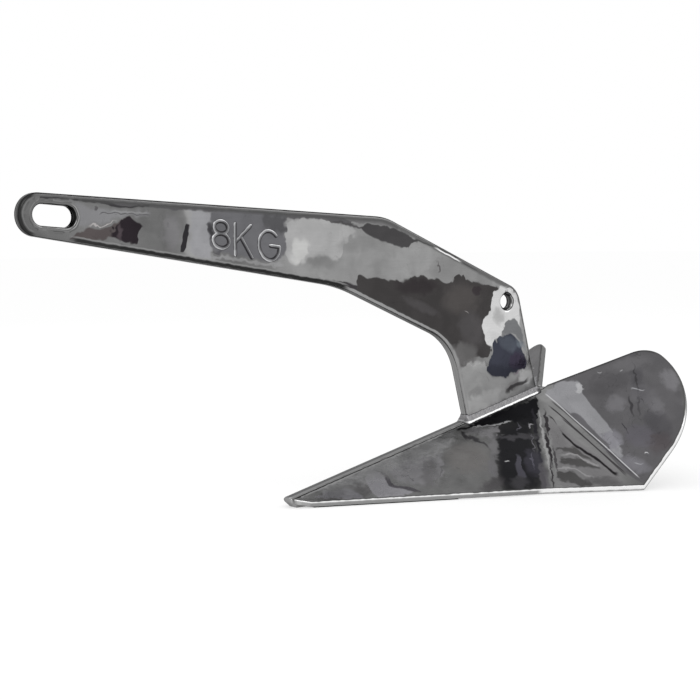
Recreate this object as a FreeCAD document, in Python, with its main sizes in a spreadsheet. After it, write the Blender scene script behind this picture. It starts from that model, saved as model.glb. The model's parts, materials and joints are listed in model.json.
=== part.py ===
import FreeCAD, Part
import math
import os

import Sketcher
from FreeCAD import Placement, Rotation, Vector

# Plough anchor, welded from polished stainless steel plate and bar.
# Frame: the ring end looks towards -X and the wings towards +X, +Z is up, and the lower edges
# of the fluke stand on Z = 0. The origin is on the ground below the middle of the anchor.
# Until the last step, which moves the origin there, X = 0 is at the foot of the point.
# Millimetres and degrees.

SIZES = {
    # shank, a bent flat bar that lies in the middle plane
    "shank_thickness": 10.0,
    "shank_edge_radius": 2.5,
    "ring_back": 244.7,             # ring end's centre, ahead of the point
    "ring_height": 255.7,
    "ring_radius": 17.3,
    "slot_back": 241.2,             # centre of the slot's front end, ahead of the point
    "slot_height": 255.6,
    "slot_width": 17.0,
    "slot_pitch": 20.6,             # between the centres of the slot's round ends
    "slot_dip_angle": 4.2,
    "top_bend_x": 107.4,
    "top_bend_height": 255.1,
    "top_bend_radius": 63.0,
    "knee_x": 275.3,
    "knee_height": 185.4,
    "knee_radius": 21.0,
    "under_bend_x": 54.7,
    "under_bend_height": 192.6,
    "under_bend_radius": 157.0,
    "throat_x": 188.2,
    "throat_height": 136.9,
    "throat_radius": 54.0,
    "leg_rake_angle": 75.5,
    "hole_x": 259.6,
    "hole_height": 173.8,
    "hole_width": 14.0,
    "hole_chamfer": 2.1,
    # fluke, two pressed plates that meet at a bar along the spine
    "plate_thickness": 6.0,
    "spine_slope_angle": 14.07,
    "spine_reach": 313.1,           # where both creases run together, on the middle plane
    "nose_half_width": 8.8,
    "nose_overhang": 7.5,
    "nose_bevel_run": 11.1,
    "nose_undercut": 2.0,
    "share_half_angle": 21.72,
    "share_run": 219.1,             # along X, from the point to the first crease
    "skirt_half_angle": 29.0,
    "skirt_run": 83.2,              # along X, from the first crease to the wing's lower corner
    "wing_fold_angle": 25.6,
    "wing_reach": 109.2,            # across the wing, from its crease to its outer edge
    "wing_top_rake_angle": 18.0,
    "wing_tail_rake_angle": 20.0,
    "wing_top_radius": 27.5,
    "wing_tail_radius": 97.0,
    "crease_radius": 14.0,
    "crease_back_radius": 20.0,
    "ridge_bar_width": 12.0,
    "ridge_bar_depth": 14.0,
    "ridge_bar_proud": 1.0,
    "ridge_bar_radius": 1.8,
    # fillet weld round the foot of the shank
    "weld_leg": 4.6,
    "weld_face": 4.3,               # bevel of the weld's slope
    "weld_root": 5.0,               # how far the weld reaches below the top of the ridge bar
    "weld_throat_leg": 8.5,         # hollow fillet in front of the shank
    "weld_throat_radius": 11.0,
    "weld_throat_bite_angle": 6.0,
    "weld_throat_width": 9.0,
    # nose filling and its cover
    "cover_thickness": 4.0,
    "cover_start": 14.0,
    "ballast_start": 32.0,
    "ballast_reach": 140.0,
}

doc = FreeCAD.newDocument("plough_anchor")
sheet = doc.addObject("Spreadsheet::Sheet", "sizes")
for row, (alias, value) in enumerate(SIZES.items(), start=1):
    sheet.set(f"A{row}", alias)
    sheet.set(f"B{row}", str(value))
    sheet.setAlias(f"B{row}", alias)
doc.recompute()


def size(alias):
    """A driving size, read from the sheet."""
    return float(sheet.get(alias))


def unit(vector):
    return Vector(vector).normalize()


def bearing(angle):
    """Unit vector in the X-Y plane at an angle in degrees."""
    return Vector(math.cos(math.radians(angle)), math.sin(math.radians(angle)), 0)


# Outlines

def line(start, end):
    """A straight piece of an outline, as (curve, its first end, its last end)."""
    return Part.LineSegment(start, end), 1, 2


def arc(start, centre, end, clockwise):
    """A round piece of an outline. A sketch's arcs run anticlockwise, so a clockwise one is turned."""
    first, last = (end, start) if clockwise else (start, end)
    begin = math.atan2(first.y - centre.y, first.x - centre.x)
    finish = math.atan2(last.y - centre.y, last.x - centre.x)
    circle = Part.Circle(centre, Vector(0, 0, 1), (start - centre).Length)
    curve = Part.ArcOfCircle(circle, begin, finish)
    return (curve, 2, 1) if clockwise else (curve, 1, 2)


def rounded(corners):
    """An open outline through (point, radius) corners, each rounded by a tangent arc."""
    pieces = []
    here = corners[0][0]
    for (before, _), (point, radius), (after, _) in zip(corners, corners[1:], corners[2:]):
        into, out = unit(point - before), unit(after - point)
        turn = into.getAngle(out)
        if radius == 0 or turn == 0:
            pieces.append(line(here, point))
            here = point
            continue
        reach = radius * math.tan(turn / 2)
        begin, end = point - into * reach, point + out * reach
        clockwise = into.cross(out).z < 0
        side = Vector(into.y, -into.x, 0) if clockwise else Vector(-into.y, into.x, 0)
        pieces.append(line(here, begin))
        pieces.append(arc(begin, begin + side * radius, end, clockwise))
        here = end
    pieces.append(line(here, corners[-1][0]))
    return pieces


def polygon(points):
    return [line(start, end) for start, end in zip(points, points[1:] + points[:1])]


def draw(sketch, pieces):
    """Put a closed outline in a sketch, with its pieces joined end to end."""
    for curve, _, _ in pieces:
        sketch.addGeometry(curve, False)
    for number, (_, _, last) in enumerate(pieces):
        following = (number + 1) % len(pieces)
        sketch.addConstraint(Sketcher.Constraint(
            "Coincident", number, last, following, pieces[following][1]))


# Part design helpers

def make_body(name):
    body = doc.addObject("PartDesign::Body", name)
    body.Label = name
    return body


def sketch_on(body, name, role, offset=None):
    """A sketch on one of the body's own origin planes, moved within it by offset."""
    plane = next(f for f in body.Origin.OriginFeatures if f.Role == role)
    sketch = body.newObject("Sketcher::SketchObject", name)
    sketch.AttachmentSupport = [(plane, "")]
    sketch.MapMode = "FlatFace"
    if offset:
        sketch.AttachmentOffset = offset
    return sketch


def pad(body, name, sketch, length, both_sides=False):
    """A pad whose length is an expression of the sheet's sizes."""
    feature = body.newObject("PartDesign::Pad", name)
    feature.Profile = sketch
    feature.SideType = "Symmetric" if both_sides else "One side"
    feature.setExpression("Length", length)
    return feature


def loft(body, name, profile, section):
    """A straight-sided loft between two sketches."""
    feature = body.newObject("PartDesign::AdditiveLoft", name)
    feature.Profile = profile
    feature.Sections = [section]
    feature.Ruled = True
    return feature


def less(name, base, tool):
    """A sub-part that is one shape with another taken away."""
    feature = doc.addObject("Part::Cut", name)
    feature.Label = name
    feature.Base = base
    feature.Tool = tool
    return feature


def cut_through(body, name, sketch):
    """A pocket through everything, both ways from its sketch."""
    feature = body.newObject("PartDesign::Pocket", name)
    feature.Profile = sketch
    feature.SideType = "Two sides"
    feature.Type = "ThroughAll"
    feature.Type2 = "ThroughAll"
    return feature


def edge_names(feature, wanted):
    """Names of the edges of a feature's shape that pass a test."""
    edges = feature.Shape.Edges
    return [f"Edge{number}" for number, edge in enumerate(edges, start=1) if wanted(edge)]


def dress(body, kind, name, base, wanted, alias):
    """A fillet or chamfer on the wanted edges of the base feature."""
    doc.recompute()
    feature = body.newObject(f"PartDesign::{kind}", name)
    feature.Base = (base, edge_names(base, wanted))
    feature.setExpression("Radius" if kind == "Fillet" else "Size", f"sizes.{alias}")
    return feature


# Shape of the fluke: the underside planes of the port plate's three panels

def plane_frame(origin, along, normal):
    """Placement whose X runs along a direction and whose Z is a plane's normal."""
    across = normal.cross(along)
    return Placement(origin, Rotation(along, across, normal, "ZXY"))


def height_on(point, normal, x, y):
    """Height of the plane through a point at a place in plan."""
    return point.z - (normal.x * (x - point.x) + normal.y * (y - point.y)) / normal.z


spine = Vector(math.cos(math.radians(size("spine_slope_angle"))), 0,
               math.sin(math.radians(size("spine_slope_angle"))))
share_edge = bearing(-size("share_half_angle"))
skirt_edge = bearing(-size("skirt_half_angle"))
nose_foot = Vector(0, -size("nose_half_width"), 0)

first_corner = nose_foot + share_edge * (size("share_run") / share_edge.x)
wing_corner = first_corner + skirt_edge * (size("skirt_run") / skirt_edge.x)
share_normal = unit(share_edge.cross(spine))
crease_top = Vector(size("spine_reach"), 0, height_on(nose_foot, share_normal, size("spine_reach"), 0))
skirt_normal = unit((wing_corner - first_corner).cross(crease_top - first_corner))
crease = unit(wing_corner - crease_top)
crease_length = (wing_corner - crease_top).Length
wing_normal = Rotation(crease, size("wing_fold_angle")).multVec(skirt_normal)
plate = size("plate_thickness")
half_bar = size("ridge_bar_width") / 2
share_top = nose_foot + share_normal * plate
spine_top = height_on(share_top, share_normal, 0, -half_bar) + size("ridge_bar_proud")


def spine_height(x):
    """Height of the ridge bar's top at a distance behind the point."""
    return spine_top + x * spine.z / spine.x


# Shank

def tangent_point(outside, centre, radius, upper):
    """Where the tangent from a point touches a circle, on its upper or lower side."""
    gap = outside - centre
    swing = math.acos(radius / gap.Length)
    angle = math.atan2(gap.y, gap.x) + (swing if upper else -swing)
    return centre + bearing(math.degrees(angle)) * radius


def meet(point, along, level, slope):
    """Where a line from a point crosses the line y = level + slope * x."""
    run = (level + slope * point.x - point.y) / (along.y - slope * along.x)
    return point + along * run


ring = Vector(-size("ring_back"), size("ring_height"), 0)
top_bend = Vector(size("top_bend_x"), size("top_bend_height"), 0)
knee = Vector(size("knee_x"), size("knee_height"), 0)
throat = Vector(size("throat_x"), size("throat_height"), 0)
under_bend = Vector(size("under_bend_x"), size("under_bend_height"), 0)
leg = bearing(-size("leg_rake_angle"))
spine_pitch = spine.z / spine.x
heel = meet(knee, leg, spine_top, spine_pitch)
toe = meet(throat, leg, spine_top, spine_pitch)
top_touch = tangent_point(top_bend, ring, size("ring_radius"), upper=True)
under_touch = tangent_point(under_bend, ring, size("ring_radius"), upper=False)

side_outline = rounded([
    (top_touch, 0),
    (top_bend, size("top_bend_radius")),
    (knee, size("knee_radius")),
    (heel, 0),
    (toe, 0),
    (throat, size("throat_radius")),
    (under_bend, size("under_bend_radius")),
    (under_touch, 0),
])
side_outline.append(arc(under_touch, ring, top_touch, clockwise=True))

shank = make_body("shank")
shank_sketch = sketch_on(shank, "shank_outline", "XZ_Plane")
draw(shank_sketch, side_outline)
shank_bar = pad(shank, "shank_bar", shank_sketch, "sizes.shank_thickness", both_sides=True)

slot_sketch = sketch_on(shank, "slot_outline", "XZ_Plane")
slot_axis = bearing(-size("slot_dip_angle"))
slot_side = Vector(-slot_axis.y, slot_axis.x, 0) * (size("slot_width") / 2)
slot_near = Vector(-size("slot_back"), size("slot_height"), 0)
slot_far = slot_near + slot_axis * size("slot_pitch")
draw(slot_sketch, [
    line(slot_near - slot_side, slot_far - slot_side),
    arc(slot_far - slot_side, slot_far, slot_far + slot_side, clockwise=False),
    line(slot_far + slot_side, slot_near + slot_side),
    arc(slot_near + slot_side, slot_near, slot_near - slot_side, clockwise=False),
])
shackle_slot = cut_through(shank, "shackle_slot", slot_sketch)

half_thickness = size("shank_thickness") / 2
touch = 0.01


def on_shank_face(edge):
    """An edge of the bar's two flat faces, apart from those at the foot."""
    box = edge.BoundBox
    flat = abs(abs(edge.CenterOfMass.y) - half_thickness) < touch and box.YLength < touch
    middle = edge.CenterOfMass
    return flat and abs(middle.z - spine_height(middle.x)) > touch


dress(shank, "Fillet", "shank_rounding", shackle_slot, on_shank_face, "shank_edge_radius")

hole_sketch = sketch_on(shank, "hole_outline", "XZ_Plane")
hole_centre = Vector(size("hole_x"), size("hole_height"), 0)
hole_number = hole_sketch.addGeometry(
    Part.Circle(hole_centre, Vector(0, 0, 1), size("hole_width") / 2), False)
hole_rule = hole_sketch.addConstraint(Sketcher.Constraint("Diameter", hole_number, size("hole_width")))
hole_sketch.renameConstraint(hole_rule, "hole_width")
hole_sketch.setExpression("Constraints.hole_width", "sizes.hole_width")
trip_hole = cut_through(shank, "trip_line_hole", hole_sketch)


def on_hole_rim(edge):
    round_edge = isinstance(edge.Curve, Part.Circle)
    return round_edge and abs(edge.Curve.Radius - size("hole_width") / 2) < touch and edge.isClosed()


dress(shank, "Chamfer", "hole_lead_in", trip_hole, on_hole_rim, "hole_chamfer")

# Ridge bar, the narrow bar along the spine

ridge_bar = make_body("ridge_bar")
bar_sketch = sketch_on(ridge_bar, "bar_outline", "XZ_Plane")
bar_depth = size("ridge_bar_depth")
bar_top_end = Vector(size("spine_reach"), spine_height(size("spine_reach")), 0)
bar_low_end = bar_top_end + Vector(spine.z, -spine.x, 0) * bar_depth
nose_top = Vector(-size("nose_overhang"), spine_height(-size("nose_overhang")), 0)
bar_low_start = meet(bar_low_end, Vector(spine.x, spine.z, 0), 0, 0)
draw(bar_sketch, polygon([
    Vector(size("nose_undercut"), 0, 0),
    bar_low_start,
    bar_low_end,
    bar_top_end,
    nose_top,
]))
bar = pad(ridge_bar, "bar", bar_sketch, "sizes.ridge_bar_width", both_sides=True)


def on_bar_crest(edge):
    """The two long top edges of the bar."""
    middle = edge.CenterOfMass
    along = edge.Length > size("spine_reach")
    return along and abs(middle.z - spine_height(middle.x)) < touch


dress(ridge_bar, "Fillet", "crest_rounding", bar, on_bar_crest, "ridge_bar_radius")

# Fluke plates

def flat_points(frame, points):
    """Points of space as points of a sketch that lies in frame."""
    inverse = frame.inverse()
    return [inverse.multVec(point) for point in points]


plate_left = make_body("fluke_plate_left")
spare = 2 * plate                   # the panels are drawn this much too long, then cut to their edge

share_frame = plane_frame(first_corner, share_edge, share_normal)
bevel_foot = nose_foot + share_edge * (size("nose_bevel_run") / share_edge.x)
nose_x = -size("nose_overhang")
nose_ridge = Vector(nose_x, 0, height_on(nose_foot, share_normal, nose_x, 0))
bevel_way = unit(bevel_foot - nose_ridge)
long_corner = first_corner + unit(first_corner - crease_top) * spare
share_sketch = sketch_on(plate_left, "share_outline", "XY_Plane", share_frame)
draw(share_sketch, polygon(flat_points(share_frame, [
    bevel_foot + bevel_way * spare, long_corner, crease_top, nose_ridge])))
pad(plate_left, "share_panel", share_sketch, "sizes.plate_thickness")

skirt_frame = plane_frame(first_corner, unit(wing_corner - first_corner), skirt_normal)
long_wing_corner = wing_corner + crease * spare
skirt_sketch = sketch_on(plate_left, "skirt_outline", "XY_Plane", skirt_frame)
draw(skirt_sketch, polygon(flat_points(skirt_frame, [long_corner, long_wing_corner, crease_top])))
pad(plate_left, "skirt_panel", skirt_sketch, "sizes.plate_thickness")

wing_frame = plane_frame(crease_top, crease, wing_normal)
reach = size("wing_reach")
top_shift = reach * math.tan(math.radians(size("wing_top_rake_angle")))
tail_shift = reach * math.tan(math.radians(size("wing_tail_rake_angle")))
long_end = Vector(crease_length + spare, 0, 0)
long_tail = Vector(crease_length + spare, reach, 0)
wing_sketch = sketch_on(plate_left, "wing_outline", "XY_Plane", wing_frame)
wing_pieces = rounded([
    (Vector(0, 0, 0), 0),
    (Vector(top_shift, reach, 0), size("wing_top_radius")),
    (long_tail, 0),
    (long_end, 0),
    (Vector(0, 0, 0), 0),
])
draw(wing_sketch, wing_pieces)
pad(plate_left, "wing_panel", wing_sketch, "sizes.plate_thickness")

seat_sketch = sketch_on(plate_left, "bar_seat_outline", "XY_Plane")
seat_start, seat_end = nose_x - spare, size("spine_reach") + spare
draw(seat_sketch, polygon([
    Vector(seat_start, -half_bar, 0),
    Vector(seat_end, -half_bar, 0),
    Vector(seat_end, half_bar, 0),
    Vector(seat_start, half_bar, 0),
]))
bar_seat = cut_through(plate_left, "bar_seat", seat_sketch)


def on_line(point, along):
    """Test for an edge that lies on a line through a point."""
    def wanted(edge):
        return all((vertex.Point - point).cross(along).Length < touch for vertex in edge.Vertexes)
    return wanted


def front_fold(normal, other):
    """A point of the fold between two panels on their upper faces, above crease_top."""
    lift = unit(normal + other)
    return crease_top + lift * (plate / lift.dot(normal))


# The lower edge is cut square to the share panel, and the tail square to the wing.
far = size("wing_reach")
share_way = unit(first_corner - bevel_foot)
skirt_way = unit(wing_corner - first_corner)
outward = share_normal.cross(share_way) * -1
edge_sketch = sketch_on(plate_left, "lower_edge_outline", "XY_Plane", share_frame)
edge_points = flat_points(share_frame, [
    bevel_foot - share_way * far,
    first_corner,
    wing_corner + skirt_way * far,
    wing_corner + skirt_way * far + outward * far,
    bevel_foot - share_way * far + outward * far,
])
draw(edge_sketch, polygon([Vector(point.x, point.y, 0) for point in edge_points]))
lower_edge = cut_through(plate_left, "lower_edge", edge_sketch)

tail_sketch = sketch_on(plate_left, "tail_outline", "XY_Plane", wing_frame)
wing_low = Vector(crease_length, 0, 0)
tail_corner = Vector(crease_length - tail_shift, reach, 0)
tail_way = unit(tail_corner - wing_low)
tail_pieces = rounded([
    (wing_low - tail_way * far, 0),
    (tail_corner, size("wing_tail_radius")),
    (Vector(0, reach, 0), 0),
    (Vector(0, reach + far, 0), 0),
    (Vector(crease_length + far, reach + far, 0), 0),
    (Vector(crease_length + far, -far, 0), 0),
    (wing_low - tail_way * far, 0),
])
draw(tail_sketch, tail_pieces)
tail_cut = cut_through(plate_left, "tail_cut", tail_sketch)

wing_crease_front = front_fold(skirt_normal, wing_normal)
crease_inside = dress(plate_left, "Fillet", "crease_inside", tail_cut, on_line(wing_crease_front, crease),
                      "crease_radius")
dress(plate_left, "Fillet", "crease_outside", crease_inside, on_line(crease_top, crease),
      "crease_back_radius")

plate_right = doc.addObject("Part::Mirroring", "fluke_plate_right")
plate_right.Label = "fluke_plate_right"
plate_right.Source = plate_left
plate_right.Normal = Vector(0, 1, 0)

# Nose filling and its cover, both between the undersides of the share panels

share_narrowing = share_normal.z / -share_normal.y


def hollow_half_width(x, z):
    """Half the width of the space between the share panels."""
    return size("nose_half_width") - x * share_edge.y / share_edge.x - z * share_narrowing


def level(height):
    return Placement(Vector(0, 0, height), Rotation())


def station(x):
    """Placement of a section across the anchor, for a sketch on the Y-Z plane."""
    return Placement(Vector(0, 0, x), Rotation())


cover_top = size("cover_thickness")
ballast_start, ballast_end = size("ballast_start"), size("ballast_reach")
cover_blank = make_body("cover_blank")
cover_sketches = []
for name, z in (("cover_under", 0), ("cover_upper", cover_top)):
    front, rear = hollow_half_width(size("cover_start"), z), hollow_half_width(ballast_end, z)
    sketch = sketch_on(cover_blank, name, "XY_Plane", level(z))
    draw(sketch, polygon([
        Vector(size("cover_start"), -front, 0),
        Vector(ballast_end, -rear, 0),
        Vector(ballast_end, rear, 0),
        Vector(size("cover_start"), front, 0),
    ]))
    cover_sketches.append(sketch)
loft(cover_blank, "cover_plate", *cover_sketches)
ballast_cover = less("ballast_cover", cover_blank, ridge_bar)

ballast_blank = make_body("ballast_blank")
ballast_sketches = []
for name, x in (("ballast_front", ballast_start), ("ballast_rear", ballast_end)):
    low = hollow_half_width(x, cover_top)
    top = cover_top + (low - half_bar) / share_narrowing
    sketch = sketch_on(ballast_blank, name, "YZ_Plane", station(x))
    draw(sketch, polygon([
        Vector(-low, cover_top, 0),
        Vector(low, cover_top, 0),
        Vector(half_bar, top, 0),
        Vector(-half_bar, top, 0),
    ]))
    ballast_sketches.append(sketch)
loft(ballast_blank, "ballast_block", *ballast_sketches)
tip_ballast = less("tip_ballast", ballast_blank, ridge_bar)

# Fillet weld round the foot of the shank

weld_blank = make_body("weld_blank")
leg_length = size("weld_leg")
up = Vector(-spine.z, 0, spine.x)
toe_place, heel_place = (Vector(point.x, 0, point.y) for point in (toe, heel))
weld_frame = plane_frame(toe_place - up * size("weld_root"), spine, up)
weld_sketch = sketch_on(weld_blank, "weld_outline", "XY_Plane", weld_frame)
foot_length = (heel_place - toe_place).Length
weld_half_width = half_thickness + leg_length
corners = [
    Vector(-leg_length, -weld_half_width, 0),
    Vector(foot_length + leg_length, -weld_half_width, 0),
    Vector(foot_length + leg_length, weld_half_width, 0),
    Vector(-leg_length, weld_half_width, 0),
]
middle_of_front = (corners[3] + corners[0]) / 2
weld_pieces = rounded([
    (middle_of_front, 0),
    *((corner, leg_length) for corner in corners),
    (middle_of_front, 0),
])
draw(weld_sketch, weld_pieces)
weld_pad = pad(weld_blank, "weld_pad", weld_sketch, "sizes.weld_root + sizes.weld_leg")


def on_weld_rim(edge):
    """An edge of the weld's top outline."""
    return abs((edge.CenterOfMass - toe_place).dot(up) - leg_length) < touch


dress(weld_blank, "Chamfer", "weld_slope", weld_pad, on_weld_rim, "weld_face")

# In front of the shank the weld is a hollow fillet, a little narrower than the bar. Its ends lie
# a few degrees inside the steel that it joins.
forward, upward = bearing(180 + size("spine_slope_angle")), leg * -1
corner_way = unit(forward + upward)
throat_leg, hollow = size("weld_throat_leg"), size("weld_throat_radius")
chord_middle = toe + (forward + upward) * (throat_leg / 2)
half_chord = (forward - upward).Length * throat_leg / 2
hollow_middle = chord_middle + corner_way * math.sqrt(hollow ** 2 - half_chord ** 2)
inward_angle = math.degrees(math.atan2(-corner_way.y, -corner_way.x))
half_sweep = math.degrees(math.asin(half_chord / hollow)) + size("weld_throat_bite_angle")
hollow_foot = hollow_middle + bearing(inward_angle - half_sweep) * hollow
hollow_head = hollow_middle + bearing(inward_angle + half_sweep) * hollow
root = toe - corner_way * leg_length
throat_sketch = sketch_on(weld_blank, "weld_throat_outline", "XZ_Plane")
draw(throat_sketch, [
    line(root, hollow_foot),
    arc(hollow_foot, hollow_middle, hollow_head, clockwise=False),
    line(hollow_head, root),
])
pad(weld_blank, "weld_throat", throat_sketch, "sizes.weld_throat_width", both_sides=True)
steel = doc.addObject("Part::MultiFuse", "welded_pieces")
steel.Shapes = [shank, ridge_bar, plate_left, plate_right]
shank_weld = less("shank_weld", weld_blank, steel)

# The origin goes below the middle of the anchor

def tight_box(feature):
    """Bounding box without the margin round curved faces."""
    return feature.Shape.optimalBoundingBox(False, False)


doc.recompute()
middle_x = (tight_box(shank).XMin + tight_box(plate_left).XMax) / 2
for body in (shank, ridge_bar, plate_left, cover_blank, ballast_blank, weld_blank):
    body.Placement = Placement(Vector(-middle_x, 0, 0), Rotation())
doc.recompute()

for item in doc.Objects:
    if "Invalid" in item.State or "Error" in item.State:
        raise RuntimeError(f"{item.Name} did not rebuild: {item.State}")

os.makedirs("parts", exist_ok=True)
for part in (shank, ridge_bar, plate_left, plate_right, shank_weld, tip_ballast, ballast_cover):
    if part.Shape.isNull() or not part.Shape.isValid() or len(part.Shape.Solids) != 1:
        raise RuntimeError(f"{part.Label} is not one valid solid")
    part.Shape.exportStep(f"parts/{part.Label}.step")
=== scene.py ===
"""Dressing of the plough anchor: bent shank, pressed fluke, welds, studio and camera.

Sizes are in millimetres and degrees, measured from the foot of the point, +X towards the wings and
+Z up. They are turned into metres about the middle of the anchor when a mesh is written.
"""

import json
import logging
import math
from dataclasses import dataclass, replace
from enum import Enum
from typing import Callable, Sequence, TypeAlias

import bpy
import numpy as np
from mathutils import Matrix, Vector, noise
from mathutils.geometry import delaunay_2d_cdt

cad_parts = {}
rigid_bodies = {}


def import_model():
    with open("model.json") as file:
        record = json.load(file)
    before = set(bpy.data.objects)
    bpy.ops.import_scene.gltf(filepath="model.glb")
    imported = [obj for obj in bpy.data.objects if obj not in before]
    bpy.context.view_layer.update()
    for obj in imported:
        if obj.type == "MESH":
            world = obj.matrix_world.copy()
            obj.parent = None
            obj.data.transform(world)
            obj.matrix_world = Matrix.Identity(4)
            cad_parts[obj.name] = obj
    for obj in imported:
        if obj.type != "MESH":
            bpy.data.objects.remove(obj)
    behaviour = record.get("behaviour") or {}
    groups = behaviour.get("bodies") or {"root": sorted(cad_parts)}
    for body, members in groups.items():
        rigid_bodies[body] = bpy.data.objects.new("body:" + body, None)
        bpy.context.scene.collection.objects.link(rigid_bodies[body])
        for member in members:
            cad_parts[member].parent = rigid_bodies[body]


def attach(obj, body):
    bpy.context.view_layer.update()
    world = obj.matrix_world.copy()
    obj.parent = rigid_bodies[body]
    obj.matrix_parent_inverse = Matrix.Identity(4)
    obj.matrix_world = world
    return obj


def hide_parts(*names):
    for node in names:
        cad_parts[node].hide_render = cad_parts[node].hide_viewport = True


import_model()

LOG = logging.getLogger("plough_anchor")
METRE = 1000.0
MIDDLE = np.array([64.947, 0.0, 0.0])
CAMERA_SIDE_SHARE = (0.7784, 0.6278)    # how X and Y count along a side seen three-quarter on
TINY = 1e-12                            # keeps a division from failing
SAME_PLACE = 1e-9                       # points closer than this are one point
STRAIGHT_ON = 1e-6                      # a run that turns less than this, in radians, has no corner
MERGE = 1e-5                            # points closer than this are merged by the triangulation
SLIVER = 2e-4                           # a triangle lower than this is an artefact of rounding
ROW_SHARE = 0.866                       # height of an even triangle, for the rows of a grid
CLEAR_SHARE = 0.55                      # how clear of the edges a grid stays, in its own spacing
SHARPEST = 0.5                          # limit of how far a sharp corner of an outline moves
BEVEL_SHARES = (0.0, 0.06, 0.35, 0.65, 0.94, 1.0)
GAMMA = 2.2
USUAL = (0.3, 0.7)                      # the range that most of a noise lies in

Pair = tuple[float, float]
Triple = tuple[float, float, float]
Tone = tuple[int, int, int]
Points = Sequence[float]                # distance and height of each point in turn
Socket = bpy.types.NodeSocket
Given = Socket | float | tuple[float, ...] | None
Box = tuple[Pair, ...]
Surface = Callable[[np.ndarray, np.ndarray], np.ndarray]


# Plane geometry

def bearing(angle: float) -> np.ndarray:
    """Unit vector in the plane at an angle in degrees."""
    return np.array([math.cos(math.radians(angle)), math.sin(math.radians(angle))])


def unit(vector: np.ndarray) -> np.ndarray:
    """A vector made one long."""
    return vector / np.linalg.norm(vector)


def unit_rows(vectors: np.ndarray) -> np.ndarray:
    """Each row made one long."""
    return vectors / np.maximum(np.linalg.norm(vectors, axis=1, keepdims=True), TINY)


def along_arc(centre: np.ndarray, start: np.ndarray, sweep: float, step: float) -> np.ndarray:
    """Points on an arc.

    Args:
        centre: Middle of the arc.
        start: First point of the arc.
        sweep: Angle turned in radians, positive anticlockwise.
        step: Largest distance between points.

    Returns:
        The points from start to the arc's end.
    """
    reach = start - centre
    count = max(2, math.ceil(abs(sweep) * np.linalg.norm(reach) / step))
    turns = np.linspace(0.0, sweep, count + 1)
    spun = np.stack([np.cos(turns) * reach[0] - np.sin(turns) * reach[1],
                     np.sin(turns) * reach[0] + np.cos(turns) * reach[1]], axis=1)
    return centre + spun


def rounded_run(corners: Sequence[tuple[np.ndarray, float]], step: float) -> np.ndarray:
    """Dense points along an open run of corners.

    Args:
        corners: Each corner and the radius that rounds it, 0 for a sharp one or an end.
        step: Largest distance between points.

    Returns:
        Points from the first corner to the last.
    """
    runs = [np.array([corners[0][0]])]
    for (before, _), (point, radius), (after, _) in zip(corners, corners[1:], corners[2:]):
        into, out = unit(point - before), unit(after - point)
        turn = math.atan2(into[0] * out[1] - into[1] * out[0], float(into @ out))
        if radius == 0 or abs(turn) < STRAIGHT_ON:
            runs.append(np.array([point]))
            continue
        reach = radius * math.tan(abs(turn) / 2)
        start = point - into * reach
        side = np.array([-into[1], into[0]]) * math.copysign(radius, turn)
        runs.append(along_arc(start + side, start, turn, step))
    runs.append(np.array([corners[-1][0]]))
    return fill_straights(np.concatenate(runs), step)


def fill_straights(points: np.ndarray, step: float) -> np.ndarray:
    """Put evenly spaced points on the straight stretches of a run.

    Args:
        points: The run.
        step: Largest distance between points.

    Returns:
        The run with the points added.
    """
    filled = []
    for start, end in zip(points, points[1:]):
        length = float(np.linalg.norm(end - start))
        if length >= SAME_PLACE:
            count = max(1, math.ceil(length / step))
            filled.append(start + (end - start) * (np.arange(count) / count)[:, None])
    return np.concatenate([*filled, points[-1:]])


def closed_run(corners: Sequence[tuple[np.ndarray, float]], step: float) -> np.ndarray:
    """Dense points round a closed outline."""
    middle = (corners[-1][0] + corners[0][0]) / 2
    return rounded_run([(middle, 0.0), *corners, (middle, 0.0)], step)[:-1]


def signed_area(points: np.ndarray) -> float:
    """Area of an outline, positive when it runs anticlockwise."""
    x, y = points[:, 0], points[:, 1]
    return 0.5 * float(np.sum(x * np.roll(y, -1) - np.roll(x, -1) * y))


def circle(centre: np.ndarray, radius: float, step: float) -> np.ndarray:
    """Points round a circle."""
    return along_arc(centre, centre + np.array([radius, 0.0]), 2 * math.pi, step)[:-1]


def nearest(points: np.ndarray, outline: np.ndarray) -> tuple[np.ndarray, np.ndarray]:
    """Shortest distance of points to a closed outline, and the way to the outline's right there.

    Args:
        points: Places to measure from, one row each.
        outline: The closed outline.

    Returns:
        One distance and one unit vector for each place.
    """
    best = np.full(len(points), np.inf)
    right = np.zeros_like(points)
    for start, end in zip(outline, np.roll(outline, -1, axis=0)):
        way = end - start
        share = np.clip(((points - start) @ way) / max(float(way @ way), TINY), 0.0, 1.0)
        gap = np.linalg.norm(points - (start + share[:, None] * way), axis=1)
        closer = gap < best
        best[closer] = gap[closer]
        right[closer] = np.array([way[1], -way[0]]) / max(float(np.linalg.norm(way)), TINY)
    return best, right


def inside(points: np.ndarray, outline: np.ndarray) -> np.ndarray:
    """Which points lie inside a closed outline.

    Args:
        points: The points.
        outline: The outline.

    Returns:
        True for each point inside.
    """
    held = np.zeros(len(points), dtype=bool)
    for (x0, y0), (x1, y1) in zip(outline, np.roll(outline, -1, axis=0)):
        crosses = (y0 > points[:, 1]) != (y1 > points[:, 1])
        if y0 != y1:
            held ^= crosses & (points[:, 0] < (x1 - x0) * (points[:, 1] - y0) / (y1 - y0) + x0)
    return held


def on_face(points: np.ndarray, rings: Sequence[np.ndarray]) -> np.ndarray:
    """Which points lie on a face, within its first ring and clear of the holes that follow it."""
    return inside(points, rings[0]) & ~np.any([inside(points, ring) for ring in rings[1:]], axis=0)


# Meshes

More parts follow.
